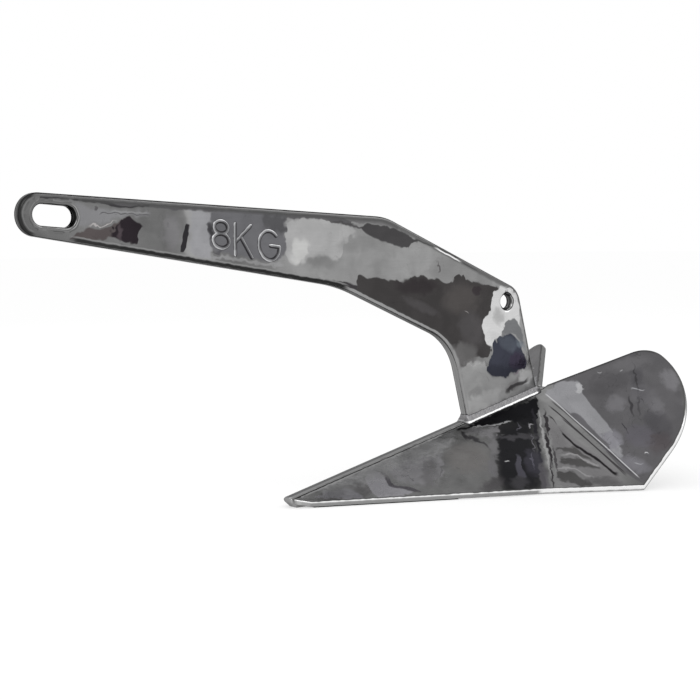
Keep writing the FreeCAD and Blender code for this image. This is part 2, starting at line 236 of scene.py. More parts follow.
def write_mesh(name: str, places: np.ndarray, faces: Sequence[Sequence[int]],
               marks: dict[str, np.ndarray]) -> bpy.types.Object:
    """Make a smooth-shaded object.

    Args:
        name: Name of the object and its mesh.
        places: Vertices in millimetres, measured from the foot of the point.
        faces: Vertex numbers of each face.
        marks: Numbers kept with each vertex, for the material to read.

    Returns:
        The object, riding on the anchor's body.
    """
    mesh = bpy.data.meshes.new(name)
    mesh.from_pydata(((places - MIDDLE) / METRE).tolist(), [], [list(face) for face in faces])
    mesh.validate()
    mesh.polygons.foreach_set("use_smooth", [True] * len(mesh.polygons))
    for label, values in marks.items():
        kind, key = ("FLOAT_VECTOR", "vector") if values.ndim > 1 else ("FLOAT", "value")
        mesh.attributes.new(label, kind, "POINT").data.foreach_set(key, values.astype(np.float32).ravel())
    mesh.update()
    piece = bpy.data.objects.new(name, mesh)
    bpy.context.scene.collection.objects.link(piece)
    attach(piece, "root")
    LOG.info("%s: %d vertices, %d faces", name, len(mesh.vertices), len(mesh.polygons))
    return piece


@dataclass(frozen=True)
class Loop:
    """One closed outline of a flat blank, with the way its two edges are broken.

    The metal lies on the left of the outline, so the outside runs anticlockwise and a hole clockwise.
    """

    points: np.ndarray
    edge_break: float
    straight: bool = False

    def inset(self, distance: float | np.ndarray) -> np.ndarray:
        """The outline moved into the metal.

        Args:
            distance: How far, one for all points or one for each.

        Returns:
            The moved points.
        """
        before = unit_rows(self.points - np.roll(self.points, 1, axis=0))
        after = unit_rows(np.roll(self.points, -1, axis=0) - self.points)
        left_before, left_after = (np.stack([-way[:, 1], way[:, 0]], axis=1) for way in (before, after))
        opening = 1.0 + np.sum(left_before * left_after, axis=1, keepdims=True)
        mitre = (left_before + left_after) / np.maximum(opening, SHARPEST)
        return self.points + mitre * np.reshape(distance, (-1, 1))

    def edge_rows(self, steps: int) -> list[Triple]:
        """Rows of the broken edge, from the face to the wall.

        Args:
            steps: How many steps a rounded edge has.

        Returns:
            For each row its inset, its drop below the face and how far it has turned, from 0 to 1.
        """
        size, quarter = self.edge_break, math.pi / 2
        if self.straight:
            return [(size * (1 - share), size * share, share) for share in BEVEL_SHARES]
        return [(size * (1 - math.sin(share * quarter)), size * (1 - math.cos(share * quarter)), share)
                for share in np.linspace(0, 1, steps + 1).tolist()]


@dataclass
class Blank:
    """A plate of even thickness, cut to outlines and laid on a surface."""

    name: str
    loops: list[Loop]
    thickness: float
    place: Surface
    edge_steps: int = 5
    wall_steps: int = 3
    spacing: float = 3.0

    def build(self) -> bpy.types.Object:
        """Make the plate's mesh.

        Returns:
            The object. Its vertices carry rim, the distance to the nearest edge, turn, how far an
            edge has turned from face to wall, depth, the distance below the upper face, cut, the
            number of the nearest outline, and aim, the way out of the metal there.
        """
        rows: list[tuple[np.ndarray, ...]] = []
        faces: list[list[int]] = []
        outlines, upper_rings, lower_rings = [], [], []
        total = 0
        for number, loop in enumerate(self.loops):
            edge = loop.edge_rows(self.edge_steps)
            ledge = edge[-1][1]
            walls = np.linspace(ledge, self.thickness - ledge, self.wall_steps + 1)[1:-1]
            stack = [*edge, *((0.0, drop, 1.0) for drop in walls),
                     *((inset, self.thickness - drop, turn) for inset, drop, turn in edge[::-1])]
            aim = unit_rows(loop.points - loop.inset(1.0))
            rows += [self._row(loop.inset(inset), aim, drop, inset, turn, number)
                     for inset, drop, turn in stack]
            rings = total + np.arange(len(stack) * len(loop.points)).reshape(len(stack), -1)
            for upper, lower in zip(rings, rings[1:]):
                faces += np.stack([upper, lower, np.roll(lower, -1), np.roll(upper, -1)], axis=1).tolist()
            outlines.append(loop.inset(edge[0][0]))
            upper_rings.append(rings[0])
            lower_rings.append(rings[-1])
            total += rings.size
        grid = self._grid(outlines)
        triangles = self._triangles(outlines, grid)
        gaps, ways = (np.stack(found) for found in zip(*(nearest(grid, loop.points) for loop in self.loops)))
        owner, each = np.argmin(gaps, axis=0), np.arange(len(grid))
        for level, rings, order in ((0.0, upper_rings, (0, 1, 2)), (self.thickness, lower_rings, (0, 2, 1))):
            numbers = np.concatenate([*rings, np.arange(total, total + len(grid))])
            total += len(grid)
            rows.append(self._row(grid, ways[owner, each], level, gaps[owner, each], 0.0, owner))
            faces += numbers[triangles][:, order].tolist()
        flat, aim, depth, rim, turn, cut = (np.concatenate(found) for found in zip(*rows))
        places = self.place(flat, depth)
        level = np.full(len(flat), self.thickness / 2)
        way = unit_rows(self.place(flat + aim, level) - self.place(flat, level))
        way[:, 1] *= np.sign(places[:, 1])
        return write_mesh(self.name, places, faces,
                          {"rim": rim, "turn": turn, "depth": depth, "cut": cut, "aim": way})

    def _row(self, flat: np.ndarray, aim: np.ndarray, *numbers: float | np.ndarray) -> tuple[np.ndarray, ...]:
        """Vertices of one row, with a number of each kind for every one of them."""
        return flat, aim, *(np.full(len(flat), number, dtype=float) for number in numbers)

    def _grid(self, outlines: list[np.ndarray]) -> np.ndarray:
        """Even points on the face, clear of its edges.

        Args:
            outlines: The face's outlines.

        Returns:
            The points.
        """
        low, high = outlines[0].min(axis=0), outlines[0].max(axis=0)
        lines = []
        for number, height in enumerate(np.arange(low[1], high[1], self.spacing * ROW_SHARE)):
            along = np.arange(low[0] + number % 2 * self.spacing / 2, high[0], self.spacing)
            lines.append(np.stack([along, np.full(len(along), height)], axis=1))
        points = np.concatenate(lines)
        points = points[on_face(points, outlines)]
        gap = np.min([nearest(points, outline)[0] for outline in outlines], axis=0)
        return points[gap > self.spacing * CLEAR_SHARE]

    def _triangles(self, outlines: list[np.ndarray], grid: np.ndarray) -> np.ndarray:
        """Triangles of the face over its outlines and grid.

        Args:
            outlines: The face's outlines.
            grid: The points between them.

        Returns:
            Anticlockwise triangles that number the outlines' points first and the grid's after.
        """
        edges, first = [], 0
        for outline in outlines:
            count = len(outline)
            edges += [(first + i, first + (i + 1) % count) for i in range(count)]
            first += count
        flat = np.concatenate([*outlines, grid])
        spots, _, triangles, origins, _, _ = delaunay_2d_cdt([Vector(p) for p in flat], edges, [], 0, MERGE)
        spots = np.array([tuple(p) for p in spots])
        middles = np.array([spots[list(face)].mean(axis=0) for face in triangles])
        chosen = []
        for face, wanted in zip(triangles, on_face(middles, outlines)):
            if not wanted:
                continue
            a, b, c = (origins[number][0] for number in face)
            pa, pb, pc = flat[a], flat[b], flat[c]
            turned = (pb[0] - pa[0]) * (pc[1] - pa[1]) - (pb[1] - pa[1]) * (pc[0] - pa[0])
            if abs(turned) > SLIVER * max(math.dist(pa, pb), math.dist(pb, pc), math.dist(pc, pa)):
                chosen.append((a, b, c) if turned > 0 else (a, c, b))
        return np.array(chosen)


# Finishes

def linear(tone: Tone) -> tuple[float, float, float, float]:
    """A tone of 0 to 255 as the linear colour that a shader takes."""
    parts = [value / 255 for value in tone]
    return (*(part / 12.92 if part <= 0.04045 else ((part + 0.055) / 1.055) ** 2.4 for part in parts), 1.0)


@dataclass(frozen=True)
class Clouds:
    """A cloudy noise: width of its largest clouds, finer layers, their strength and how it is stirred."""

    size: float
    detail: float = 3.0
    roughness: float = 0.5
    distortion: float = 0.0


@dataclass
class Graph:
    """Writes the nodes of one material."""

    material: bpy.types.Material

    @classmethod
    def start(cls, name: str) -> "Graph":
        """Start a new material.

        Args:
            name: Name of the material.

        Returns:
            The writer of its nodes.
        """
        material = bpy.data.materials.new(name)
        material.use_nodes = True
        material.node_tree.nodes.clear()
        return cls(material)

    def node(self, kind: str, *inputs: Given, named: dict[str, Given] | None = None,
             **settings: object) -> bpy.types.Node:
        """Add a node.

        Args:
            kind: The node's type, without the words that all of them start with.
            inputs: What its first inputs take, in turn.
            named: What inputs take that are given by name.
            settings: Its own settings by name.

        Returns:
            The node.
        """
        made = self.material.node_tree.nodes.new("ShaderNode" + kind)
        for label, value in settings.items():
            setattr(made, label, value)
        for target, value in zip(made.inputs, inputs):
            self.feed(target, value)
        for label, value in (named or {}).items():
            self.feed(made.inputs[label], value)
        return made

    def feed(self, target: Socket, value: Given) -> None:
        """Link a socket to an input, or set the input's own value.

        Args:
            target: The input.
            value: What it takes, or None to leave it.
        """
        if isinstance(value, bpy.types.NodeSocket):
            self.material.node_tree.links.new(value, target)
        elif value is not None:
            target.default_value = value

    def math(self, operation: str, first: Socket | float, second: Socket | float | None = None,
             third: Socket | float | None = None) -> Socket:
        """The result of one step of arithmetic on up to three numbers."""
        return self.node("Math", first, second, third, operation=operation).outputs[0]

    def ramp(self, value: Socket | float, low: float, high: float, start: float = 0.0,
             end: float = 1.0) -> Socket:
        """A number eased from a start level to an end level between a low and a high value."""
        return self.node("MapRange", value, low, high, start, end, interpolation_type="SMOOTHSTEP",
                         clamp=True).outputs[0]

    def within(self, share: Socket, along: Socket, start: float, end: float, fade: float) -> Socket:
        """A share kept between two distances, eased out over a fade at both ends."""
        share = self.math("MULTIPLY", share, self.ramp(along, start, start + fade))
        return self.math("MULTIPLY", share, self.ramp(along, end - fade, end, 1.0, 0.0))

    def mix(self, share: Socket | float, first: Socket | Tone, second: Socket | Tone,
            blend: str = "MIX") -> Socket:
        """Two colours mixed.

        Args:
            share: How much of the second shows, from 0 to 1.
            first: Colour or tone below.
            second: Colour or tone on top.
            blend: How the second goes over the first.

        Returns:
            The mixed colour.
        """
        made = self.node("Mix", share, data_type="RGBA", blend_type=blend)
        for target, given in ((made.inputs[6], first), (made.inputs[7], second)):
            self.feed(target, linear(given) if isinstance(given, tuple) else given)
        return made.outputs[2]

    def grey(self, level: Socket) -> Socket:
        """A grey of a linear level."""
        return self.node("CombineColor", level, level, level).outputs[0]

    def noise(self, vector: Socket, clouds: Clouds) -> Socket:
        """Cloudy noise from 0 to 1, read at a place in millimetres."""
        sizes = {"Vector": vector, "Scale": 1.0 / clouds.size, "Detail": clouds.detail,
                 "Roughness": clouds.roughness, "Distortion": clouds.distortion}
        return self.node("TexNoise", named=sizes, noise_dimensions="3D").outputs["Fac"]

    def stretched(self, vector: Socket, scale: Triple) -> Socket:
        """Places scaled along each axis, for streaks."""
        return self.node("Mapping", named={"Vector": vector, "Scale": scale}).outputs[0]

    def attribute(self, label: str) -> Socket:
        """A number kept with the mesh's vertices."""
        return self.node("Attribute", attribute_type="GEOMETRY", attribute_name=label).outputs["Fac"]

    def curve(self, value: Socket, points: Points) -> Socket:
        """A height that follows a drawn line.

        Args:
            value: Distance along the line.
            points: Distance and height of each point of the line.

        Returns:
            The line's height there.
        """
        along, up = points[::2], points[1::2]
        low, high = min(up), max(max(up), min(up) + 0.01)
        share = self.node("MapRange", value, along[0], along[-1], 0.0, 1.0, clamp=True)
        line = self.node("FloatCurve")
        drawn = line.mapping.curves[0]
        while len(drawn.points) < len(along):
            drawn.points.new(0.5, 0.5)
        for knot, x, y in zip(drawn.points, along, up):
            knot.location = ((x - along[0]) / (along[-1] - along[0]), (y - low) / (high - low))
            knot.handle_type = "AUTO_CLAMPED"
        line.mapping.update()
        self.feed(line.inputs["Value"], share.outputs[0])
        return self.math("MULTIPLY_ADD", line.outputs[0], high - low, low)

    def metal(self, colour: Socket, roughness: Socket, tint: float = 1.0) -> bpy.types.Node:
        """Start a metal shader.

        Args:
            colour: Its colour.
            roughness: Its roughness.
            tint: How bright its reflections stay at a grazing angle.

        Returns:
            The shader.
        """
        given = {"Base Color": colour, "Metallic": 1.0, "Roughness": roughness,
                 "Specular Tint": (tint, tint, tint, 1.0)}
        return self.node("BsdfPrincipled", named=given)

    def bump(self, shader: bpy.types.Node, height: Socket, strength: float, distance: float = 1.0) -> None:
        """Bend a shader's reflections over small heights.

        Args:
            shader: The shader.
            height: The heights.
            strength: How much they bend the reflections.
            distance: How high a height of 1 is, in millimetres.
        """
        bent = self.node("Bump", named={"Strength": strength, "Distance": distance / METRE, "Height": height})
        self.feed(shader.inputs["Normal"], bent.outputs[0])

    def finish(self, shader: bpy.types.Node) -> bpy.types.Material:
        """Make a shader the material's own, and give back the material."""
        self.feed(self.node("OutputMaterial").inputs[0], shader.outputs[0])
        return self.material


@dataclass(frozen=True)
class Place:
    """Where on the anchor a point is, in millimetres, as sockets of one material."""

    graph: Graph
    spot: Socket
    along: Socket
    height: Socket
    wobble: Socket | float = 0.0        # noise about 0 that roughens what is drawn

    @classmethod
    def read(cls, graph: Graph) -> "Place":
        """Read the place from the object's own coordinates.

        Args:
            graph: The material's nodes.

        Returns:
            The place.
        """
        scaled = graph.node("VectorMath", operation="SCALE")
        graph.feed(scaled.inputs[0], graph.node("TexCoord").outputs["Object"])
        graph.feed(scaled.inputs["Scale"], METRE)
        x, y, z = graph.node("SeparateXYZ", scaled.outputs[0]).outputs
        share_of_x, share_of_y = CAMERA_SIDE_SHARE
        side = graph.math("MULTIPLY", graph.math("ABSOLUTE", y), share_of_y)
        return cls(graph, scaled.outputs[0], graph.math("MULTIPLY_ADD", x, share_of_x, side), z)

    def shifted(self, ragged: float) -> tuple[Socket, Socket]:
        """Distance along the side and height, both shifted by the noise."""
        slid = self.graph.math("MULTIPLY_ADD", self.wobble, -ragged, self.along)
        return slid, self.graph.math("MULTIPLY_ADD", self.wobble, ragged, self.height)


@dataclass(frozen=True)
class Patch:
    """A painted reflection with a drawn outline, given by its upper and its lower line."""

    tone: Tone
    blur: float
    ragged: float
    upper: Points
    lower: Points
    strength: float = 1.0

    def mask(self, place: Place) -> Socket:
        """Where the reflection shows.

        Args:
            place: The place that is asked about.

        Returns:
            Its strength inside the outline and 0 outside.
        """
        graph, (slid, moved) = place.graph, place.shifted(self.ragged)
        half = self.blur / 2
        below = graph.ramp(graph.math("SUBTRACT", graph.curve(slid, self.upper), moved), -half, half)
        above = graph.ramp(graph.math("SUBTRACT", moved, graph.curve(slid, self.lower)), -half, half)
        start, end = max(self.upper[0], self.lower[0]), min(self.upper[-2], self.lower[-2])
        after = graph.ramp(slid, start - half, start + half)
        ends = graph.math("MULTIPLY", after, graph.ramp(slid, end - half, end + half, 1.0, 0.0))
        body = graph.math("MULTIPLY", below, above)
        return graph.math("MULTIPLY", ends, graph.math("MULTIPLY", body, self.strength))


@dataclass(frozen=True)
class Stroke:
    """A thin painted reflection along one drawn line, pointed at its ends."""

    tone: Tone
    width: float
    ragged: float
    line: Points
    strength: float = 1.0
    core: float = 0.2
    rim: float = 0.75
    longest_taper: float = 5.0

    def mask(self, place: Place) -> Socket:
        """Where the line shows.

        Args:
            place: The place that is asked about.

        Returns:
            Its strength on the line and 0 off it.
        """
        graph, (slid, moved) = place.graph, place.shifted(self.ragged)
        off = graph.math("ABSOLUTE", graph.math("SUBTRACT", moved, graph.curve(slid, self.line)))
        start, end = self.line[0], self.line[-2]
        taper = min(self.longest_taper, (end - start) / 3)
        shown = graph.ramp(off, self.width * self.core, self.width * self.rim, self.strength, 0.0)
        return graph.within(shown, slid, start, end, taper)


@dataclass(frozen=True)
class Spot:
    """An oval painted reflection with a soft edge."""

    tone: Tone
    blur: float
    ragged: float
    centre: Pair
    radii: Pair
    turn: float = 0.0
    strength: float = 0.8
    softest: float = 1.8

    def mask(self, place: Place) -> Socket:
        """Where the oval shows.

        Args:
            place: The place that is asked about.

        Returns:
            Its strength inside and 0 outside.
        """
        graph, (slid, moved) = place.graph, place.shifted(self.ragged)
        squares: Socket | float = 0.0
        for way, radius in zip((bearing(self.turn), bearing(self.turn + 90.0)), self.radii):
            middle = float(way @ np.array(self.centre)) / radius
            part = graph.math("MULTIPLY_ADD", moved, float(way[1]) / radius, -middle)
            part = graph.math("MULTIPLY_ADD", slid, float(way[0]) / radius, part)
            squares = graph.math("MULTIPLY_ADD", part, part, squares)
        soft = min(self.blur / min(self.radii), self.softest) / 2
        return graph.ramp(squares, (1.0 - soft) ** 2, (1.0 + soft) ** 2, self.strength, 0.0)


Reflection: TypeAlias = Patch | Stroke | Spot


@dataclass(frozen=True)
class Band:
    """Painted reflections and shade that run along the edges that face one way."""

    facing: Triple
    stops: tuple[tuple[float, int, float], ...]     # distance from the edge, grey tone, strength
    cut: int = 0
    wall: bool = False
    narrow: Pair = (0.45, 0.8)
    between: Pair = (-400.0, 400.0)
    sway: float = 0.35
    fade: float = 8.0
    wall_turn: Pair = (0.45, 0.8)
    face_depth: Pair = (4.0, 5.0)

    def over(self, place: Place, colour: Socket) -> Socket:
        """Lay the band over a colour.

        Args:
            place: Where the point is.
            colour: The colour below.

        Returns:
            The colour with the band.
        """
        graph, reach = place.graph, self.stops[-1][0]
        depth = graph.attribute("depth" if self.wall else "rim")
        across = graph.math("DIVIDE", graph.math("MULTIPLY_ADD", place.wobble, self.sway, depth), reach)
        tones = graph.node("ValToRGB")
        marks = tones.color_ramp.elements
        while len(marks) < len(self.stops):
            marks.new(0.5)
        for mark, (distance, tone, strength) in zip(marks, self.stops):
            mark.position = distance / reach
            mark.color = (*linear((tone, tone, tone))[:3], strength)
        graph.feed(tones.inputs[0], across)
        product = graph.node("VectorMath", operation="DOT_PRODUCT")
        graph.feed(product.inputs[0], graph.node("Attribute", attribute_name="aim").outputs["Vector"])
        product.inputs[1].default_value = tuple(unit(np.array(self.facing)))
        faced = graph.ramp(product.outputs["Value"], *self.narrow)
        own = graph.math("COMPARE", graph.attribute("cut"), float(self.cut), 0.3)
        share = graph.math("MULTIPLY", graph.math("MULTIPLY", faced, own), tones.outputs["Alpha"])
        turned = graph.attribute("turn")
        side = (graph.ramp(turned, *self.wall_turn) if self.wall
                else graph.ramp(graph.attribute("depth"), *self.face_depth, 1.0, 0.0))
        share = graph.math("MULTIPLY", share, side)
        start, end = self.between
        share = graph.within(share, place.along, start - self.fade / 2, end + self.fade / 2, self.fade)
        return graph.mix(share, colour, tones.outputs["Color"])


# Painted reflection tones, and painted reflections drawn along the side, in millimetres about the middle

SHANK_REFLECTION_TONES: Points = (-251, 112, -224, 112, -203, 120, -178, 116, -160, 110, -137, 113, -130, 140,
    -122, 148, -115, 146, -111, 118, -82, 112, -62, 128, -41, 142, 3, 142, 49, 142, 87, 139, 127, 134,
    142, 140, 168, 146, 190, 146)
PLATE_REFLECTION_TONES: Points = (-52, 110, -26, 103, 1, 100, 28, 112, 65, 110, 93, 106, 122, 106, 134, 96, 142, 60,
    156, 44, 175, 60, 183, 100, 188, 124, 201, 132, 237, 126, 266, 108, 330, 96)
SPINE_REFLECTION_TONES: Points = (-60, 106, 0, 108, 80, 104, 150, 98, 200, 104)
SHANK_PAINTED_REFLECTIONS: tuple[Reflection, ...] = (
    # arm: painted reflections, a band along the top and at the ring end
    Patch((92, 91, 93), 1.6, 1, (-219.2, 275, -195.5, 273.8, -121.4, 269.2, -40.2, 264.2, 5.1, 261.9),
          (-219.4, 267.9, -195.6, 265.5, -159.4, 261.8, -121.5, 259.3, -81.9, 257.4, -50.5, 253.3,
          -23.2, 253.1, -8.3, 249.9, 5, 245.9)),
    Patch((136, 136, 138), 5, 2, (-214.7, 266.1, -208.7, 264.5, -202.8, 261.7, -188.6, 260.2, -175.2, 259.1,
          -159.5, 258.1), (-215, 245.9, -207, 247.1, -198.9, 248.2, -188.7, 251.6, -178.4, 254.5,
          -159.5, 255.2)),
    Patch((64, 63, 65), 1.2, 0.7, (-236.6, 269.8, -225.4, 270.7, -213.6, 269.5, -202.6, 268.8, -190.5, 266.6,
          -182.4, 264, -173, 263.1, -159.4, 264), (-236.6, 267.8, -225.4, 268.4, -213.6, 267.2, -202.7, 265.6,
          -194.6, 264.9, -182.4, 261.9, -173.1, 261.7, -159.4, 262.1)),
    Stroke((84, 83, 85), 0.9, 1, (-197.8, 255.8, -188.6, 257, -180.4, 256.7, -167.9, 256.2, -157.4, 255.6),
           0.8),
    Stroke((146, 146, 147), 1, 0.8, (-190.6, 259.1, -180.4, 258.3, -168.9, 257.9, -159.5, 257.3), 0.8),
    Patch((88, 82, 82), 2, 1.2, (-217.9, 236.8, -209.1, 242.3, -203, 245.7, -197, 244, -192.9, 245.1,
          -188.8, 245.7, -184.7, 249.1, -179.4, 252.6), (-217.9, 236.5, -207.2, 235.6, -197.1, 235.7,
          -188.9, 237.7, -179.7, 235.6)),
    Stroke((176, 172, 172), 1, 1.6, (-205, 245.5, -201.5, 247.3, -198.4, 247.7, -195.7, 245.9, -192.4, 247.5,
           -189.8, 249.3, -183.6, 252.1)),
    Patch((46, 41, 45), 1.8, 1.8, (-188, 242.5, -182.6, 249.1, -178.4, 253, -174.2, 253.7, -170.9, 251.1,
          -164.9, 247.3), (-188.1, 238.5, -182.8, 236.2, -175.6, 233.3, -169.8, 233.5, -168.2, 239.7,
          -164.9, 245.7)),
    Spot((84, 76, 80), 2.5, 2, (-181.7, 241.8), (1.6, 4.8)),
    Spot((84, 82, 84), 1.2, 2, (-198.3, 260.6), (1.7, 1.4)),
    # arm: painted reflections, a strip along the bottom, a streak and a pale column
    Patch((62, 60, 62), 1.4, 1.2, (-181.8, 232.8, -159.9, 226.1, -122.1, 218.2, -82.4, 210.7, -61.9, 207.7,
          -47.7, 205.2, -40.9, 202.8, -15, 199.5, 9.9, 193.5), (-181.9, 227.6, -160.1, 219.2, -122.2, 211.9,
          -82.5, 204.3, -41, 195.4, -15.1, 190.2, 9.8, 184.1)),
    Patch((48, 47, 49), 1.2, 0.5, (-137, 227.9, -134.9, 237.8, -132.1, 248.5, -129.8, 248.1), (-137, 225.4,
          -134.7, 225, -131.9, 232.8, -129.8, 244.3)),
    Spot((124, 123, 125), 5, 2, (-143.2, 241.9), (5.3, 13.1)),
    Patch((152, 152, 155), 3.5, 1.5, (-128.8, 260, -121.5, 259.7, -112.9, 258.9), (-129.3, 224.5, -122, 220.7,
          -113.5, 219.3)),
    # arm: painted reflections round the weight mark
    Patch((106, 106, 109), 3.4, 1.8, (-114.2, 259.4, -99.1, 258.9, -76, 258, -52.4, 256.2), (-114.4, 239.2,
          -110.8, 226, -99.5, 222.9, -88.1, 221.5, -76.5, 218.9, -64.8, 216.9, -52.8, 221.6)),
    Patch((88, 88, 90), 6, 4, (-71.3, 259.1, -52.4, 256.8), (-71.5, 245.1, -52.6, 240.1)),
    Spot((58, 57, 60), 2, 2, (-113.7, 242.2), (1.6, 5.7), 0, 0.9),
    Spot((80, 79, 82), 2.5, 2, (-108, 225), (3.6, 1.2), -1, 0.7),
    Stroke((156, 156, 157), 2.9, 2, (-115.4, 219.5, -104.1, 220, -92.7, 218.6, -78.9, 216.1, -64.8, 213.8,
           -52.9, 213), 0.6),
    # arm: painted pale reflection in a cloud after the mark
    Patch((166, 166, 166), 3.2, 1.8, (-53.3, 229.8, -52.2, 243.3, -49.5, 249.5, -42.2, 253.2, -21.3, 252.8,
          -8.8, 249.6, 2.5, 246.5, 7.6, 243.7), (-53.3, 227.3, -49.8, 216.1, -45, 212.9, -37.1, 214.7,
          -32.2, 219.3, -19.2, 219.1, -9.8, 216.7, -4.1, 221, -1.2, 231.8, 7.6, 240.9)),
    Patch((190, 190, 189), 7, 1.4, (-47.8, 224.8, -44.8, 233.2, -37.5, 235.1, -32.6, 232.1), (-47.9, 216.1,
          -43.8, 213.5, -38.9, 216.2, -32.7, 228.3)),
    Patch((128, 128, 128), 7, 2, (-35.2, 219, -25.4, 220.5, -9.2, 215.2), (-35.3, 214.6, -25.5, 210.7,
          -9.2, 209.1)),
    Spot((154, 154, 154), 10, 2, (62.9, 215.5), (20.5, 12), 18),
    Spot((134, 134, 134), 9, 2, (15.2, 231.7), (15.6, 5.1), 9),
    # painted reflections on the crest of the bend
    Patch((80, 79, 80), 1.6, 1.6, (-21.3, 253.3, -8.8, 251.8, 2.6, 248.8, 12.8, 247, 18, 248.1),
          (-21.3, 252.4, -8.8, 249.9, 2.5, 247, 12.8, 244.7, 17.9, 243.7)),
    Patch((114, 113, 114), 1.6, 1.2, (-2.5, 256.4, 12.9, 255.7, 33.7, 253.5, 46.9, 246.8), (-2.5, 253.6,
          12.8, 249.3, 18, 250, 33.7, 247.8, 46.9, 243.4)),
    Patch((73, 72, 73), 1.8, 1.8, (13.6, 246.5, 18, 249.3, 25.8, 249, 33.6, 247.3, 45.6, 243.8, 60.3, 236.3,
          67.1, 232.8), (13.5, 244.5, 17.9, 239.9, 25.7, 235.7, 30.9, 233.6, 38.8, 231.5, 48.1, 228,
          54.2, 227.4, 58.2, 231.6, 67.1, 232)),
    # painted dark reflection below the bend
    Patch((66, 64, 64), 1.6, 1.6, (9, 195.8, 10.8, 202, 12.7, 202.4, 20.2, 198.8, 28, 199.9, 38.6, 197,
          49.2, 196.1, 56, 198.5, 62.8, 200.4, 68.9, 200.5, 75.8, 198, 85.5, 197.1, 93.8, 193.5, 101, 196,
          106.7, 200.6, 110.3, 200.5, 112.7, 195.7, 121, 194.2, 132.6, 190.4, 144.3, 188.9), (8.9, 185.9,
          48.3, 160.8, 76.8, 138.9, 98.2, 115, 103.7, 107.1, 106.7, 112.5, 110.2, 118.5, 116.8, 120.9,
          124.4, 121.9, 131.6, 120.4, 136.2, 125, 144.2, 175.6)),
    Spot((104, 103, 103), 6, 2, (110.3, 124.7), (13.2, 11.4), -4, 0.9),
    Spot((80, 77, 76), 12, 2, (108, 177.6), (15.9, 12.8), -2, 0.9),
    Spot((84, 82, 83), 10, 2, (117.9, 148.7), (10, 15.4), 16),
    Spot((82, 80, 81), 6, 2, (68.7, 172.4), (12.5, 2.9), -26),
    Spot((52, 48, 50), 6, 2, (64.8, 191.1), (17.9, 6.6), -2, 0.7),
    Spot((56, 51, 54), 2.5, 2, (123.9, 185.2), (3.8, 4.6), -2),
    Stroke((150, 146, 146), 0.9, 0.6, (110.5, 167.2, 113.4, 165.8, 115.9, 163.5), 0.8),
    Spot((88, 86, 87), 1, 2, (85.3, 208.8), (0.7, 3.5), -11, 0.9),
    # painted glow and painted shade below the hole
    Patch((206, 206, 206), 2, 1.2, (128.7, 152.3, 131, 158.7, 135.1, 161.8, 137.5, 167, 139.3, 176.5,
          142, 183.8, 146.3, 187.5, 151.8, 189, 158.6, 187.2, 163.1, 182.9, 166.5, 174.1, 168.6, 158.7),
          (128.6, 150.6, 131, 143.7, 134.1, 133.1, 139.7, 130.8, 142.4, 137.8, 147.2, 140.1, 150.2, 145,
          152.9, 151.1, 156.5, 156.2, 160.7, 156.6, 165.3, 151.9, 168.6, 146.2)),
    Spot((168, 168, 168), 5, 2, (145.8, 159.7), (5, 7), 7, 0.7),
    Patch((118, 119, 121), 2, 1.6, (150.5, 144, 154, 152.4, 157.4, 157, 162.2, 156.8, 167.5, 150.4,
          172.2, 139.7), (150.5, 142.4, 154.7, 143.1, 162.2, 142, 167, 136.5, 172.2, 129.2)),
    # painted blue reflection in a pool below the hole
    Patch((62, 64, 74), 2.2, 1.6, (133.2, 108.8, 135.7, 116.3, 137.8, 121, 139.9, 127.6, 142, 135.2,
          146.1, 139.3, 151.4, 141.5, 156.2, 143.2, 161.9, 140, 168.2, 132.2, 172.9, 121.3, 174.9, 111.8),
          (133.2, 107.8, 139.6, 102.7, 147.7, 100.2, 154.6, 101.1, 160.5, 104.5, 166.3, 105.2, 172.3, 108,
          174.9, 109.8)),
    Spot((84, 89, 98), 5, 2, (155.9, 133.1), (9.4, 6.4), -31),
    Spot((62, 56, 70), 5, 2, (165.2, 115.2), (8.1, 7.9), 15),
    Spot((110, 118, 126), 3, 2, (168.8, 131.3), (4.6, 2.9), -49, 0.7),
    # leg: painted reflections
    Patch((170, 170, 170), 4, 2, (107.9, 113.7, 118, 116.8, 131.6, 116.4, 135, 105.4, 148.8, 99.6,
          160.5, 102.5, 180.7, 113.1), (107.6, 67.2, 117.7, 68.4, 134.8, 73.3, 148.7, 78, 165.1, 84.8,
          180.6, 89), 0.85),
    Spot((150, 150, 150), 5, 2, (121.8, 85.1), (5.2, 8.4), -23),
    Patch((150, 149, 149), 4, 1.2, (151.3, 87.5, 158.1, 94, 165.2, 99.8, 172.3, 102.2, 179.5, 109.4),
          (151.3, 85.9, 160.4, 87.1, 169.9, 90.9, 179.5, 99)),
    Spot((196, 196, 196), 8, 2, (129.1, 78.1), (21.1, 6.7), 18, 0.7),
    Spot((220, 220, 220), 5, 2, (174.7, 99.3), (6, 7.6), -36),
    Stroke((70, 68, 69), 3.3, 0.6, (152.2, 85.8, 158.7, 89.9, 165.2, 92.4, 171.1, 93.5, 178.5, 98.5), 0.9),
    Spot((78, 76, 77), 2, 2, (156.7, 88.1), (3.8, 1.6), 30),
    Spot((150, 137, 148), 1.2, 2, (165.4, 104.3), (3, 0.8), 7),
    # painted highlight and painted dark line along the edge of the crest
    Stroke((250, 250, 250), 1.4, 0.5, (80.4, 226.7, 84.6, 225.9, 91.2, 222.4, 96.8, 218.9, 102.5, 215.8,
           108.2, 211.6)),
    Stroke((58, 57, 58), 1.5, 0.7, (61, 236.1, 69.1, 232.1, 81.5, 227.8, 91.3, 224.2, 103.9, 216,
           113.9, 209.9, 126.8, 202.8), 0.85),
)
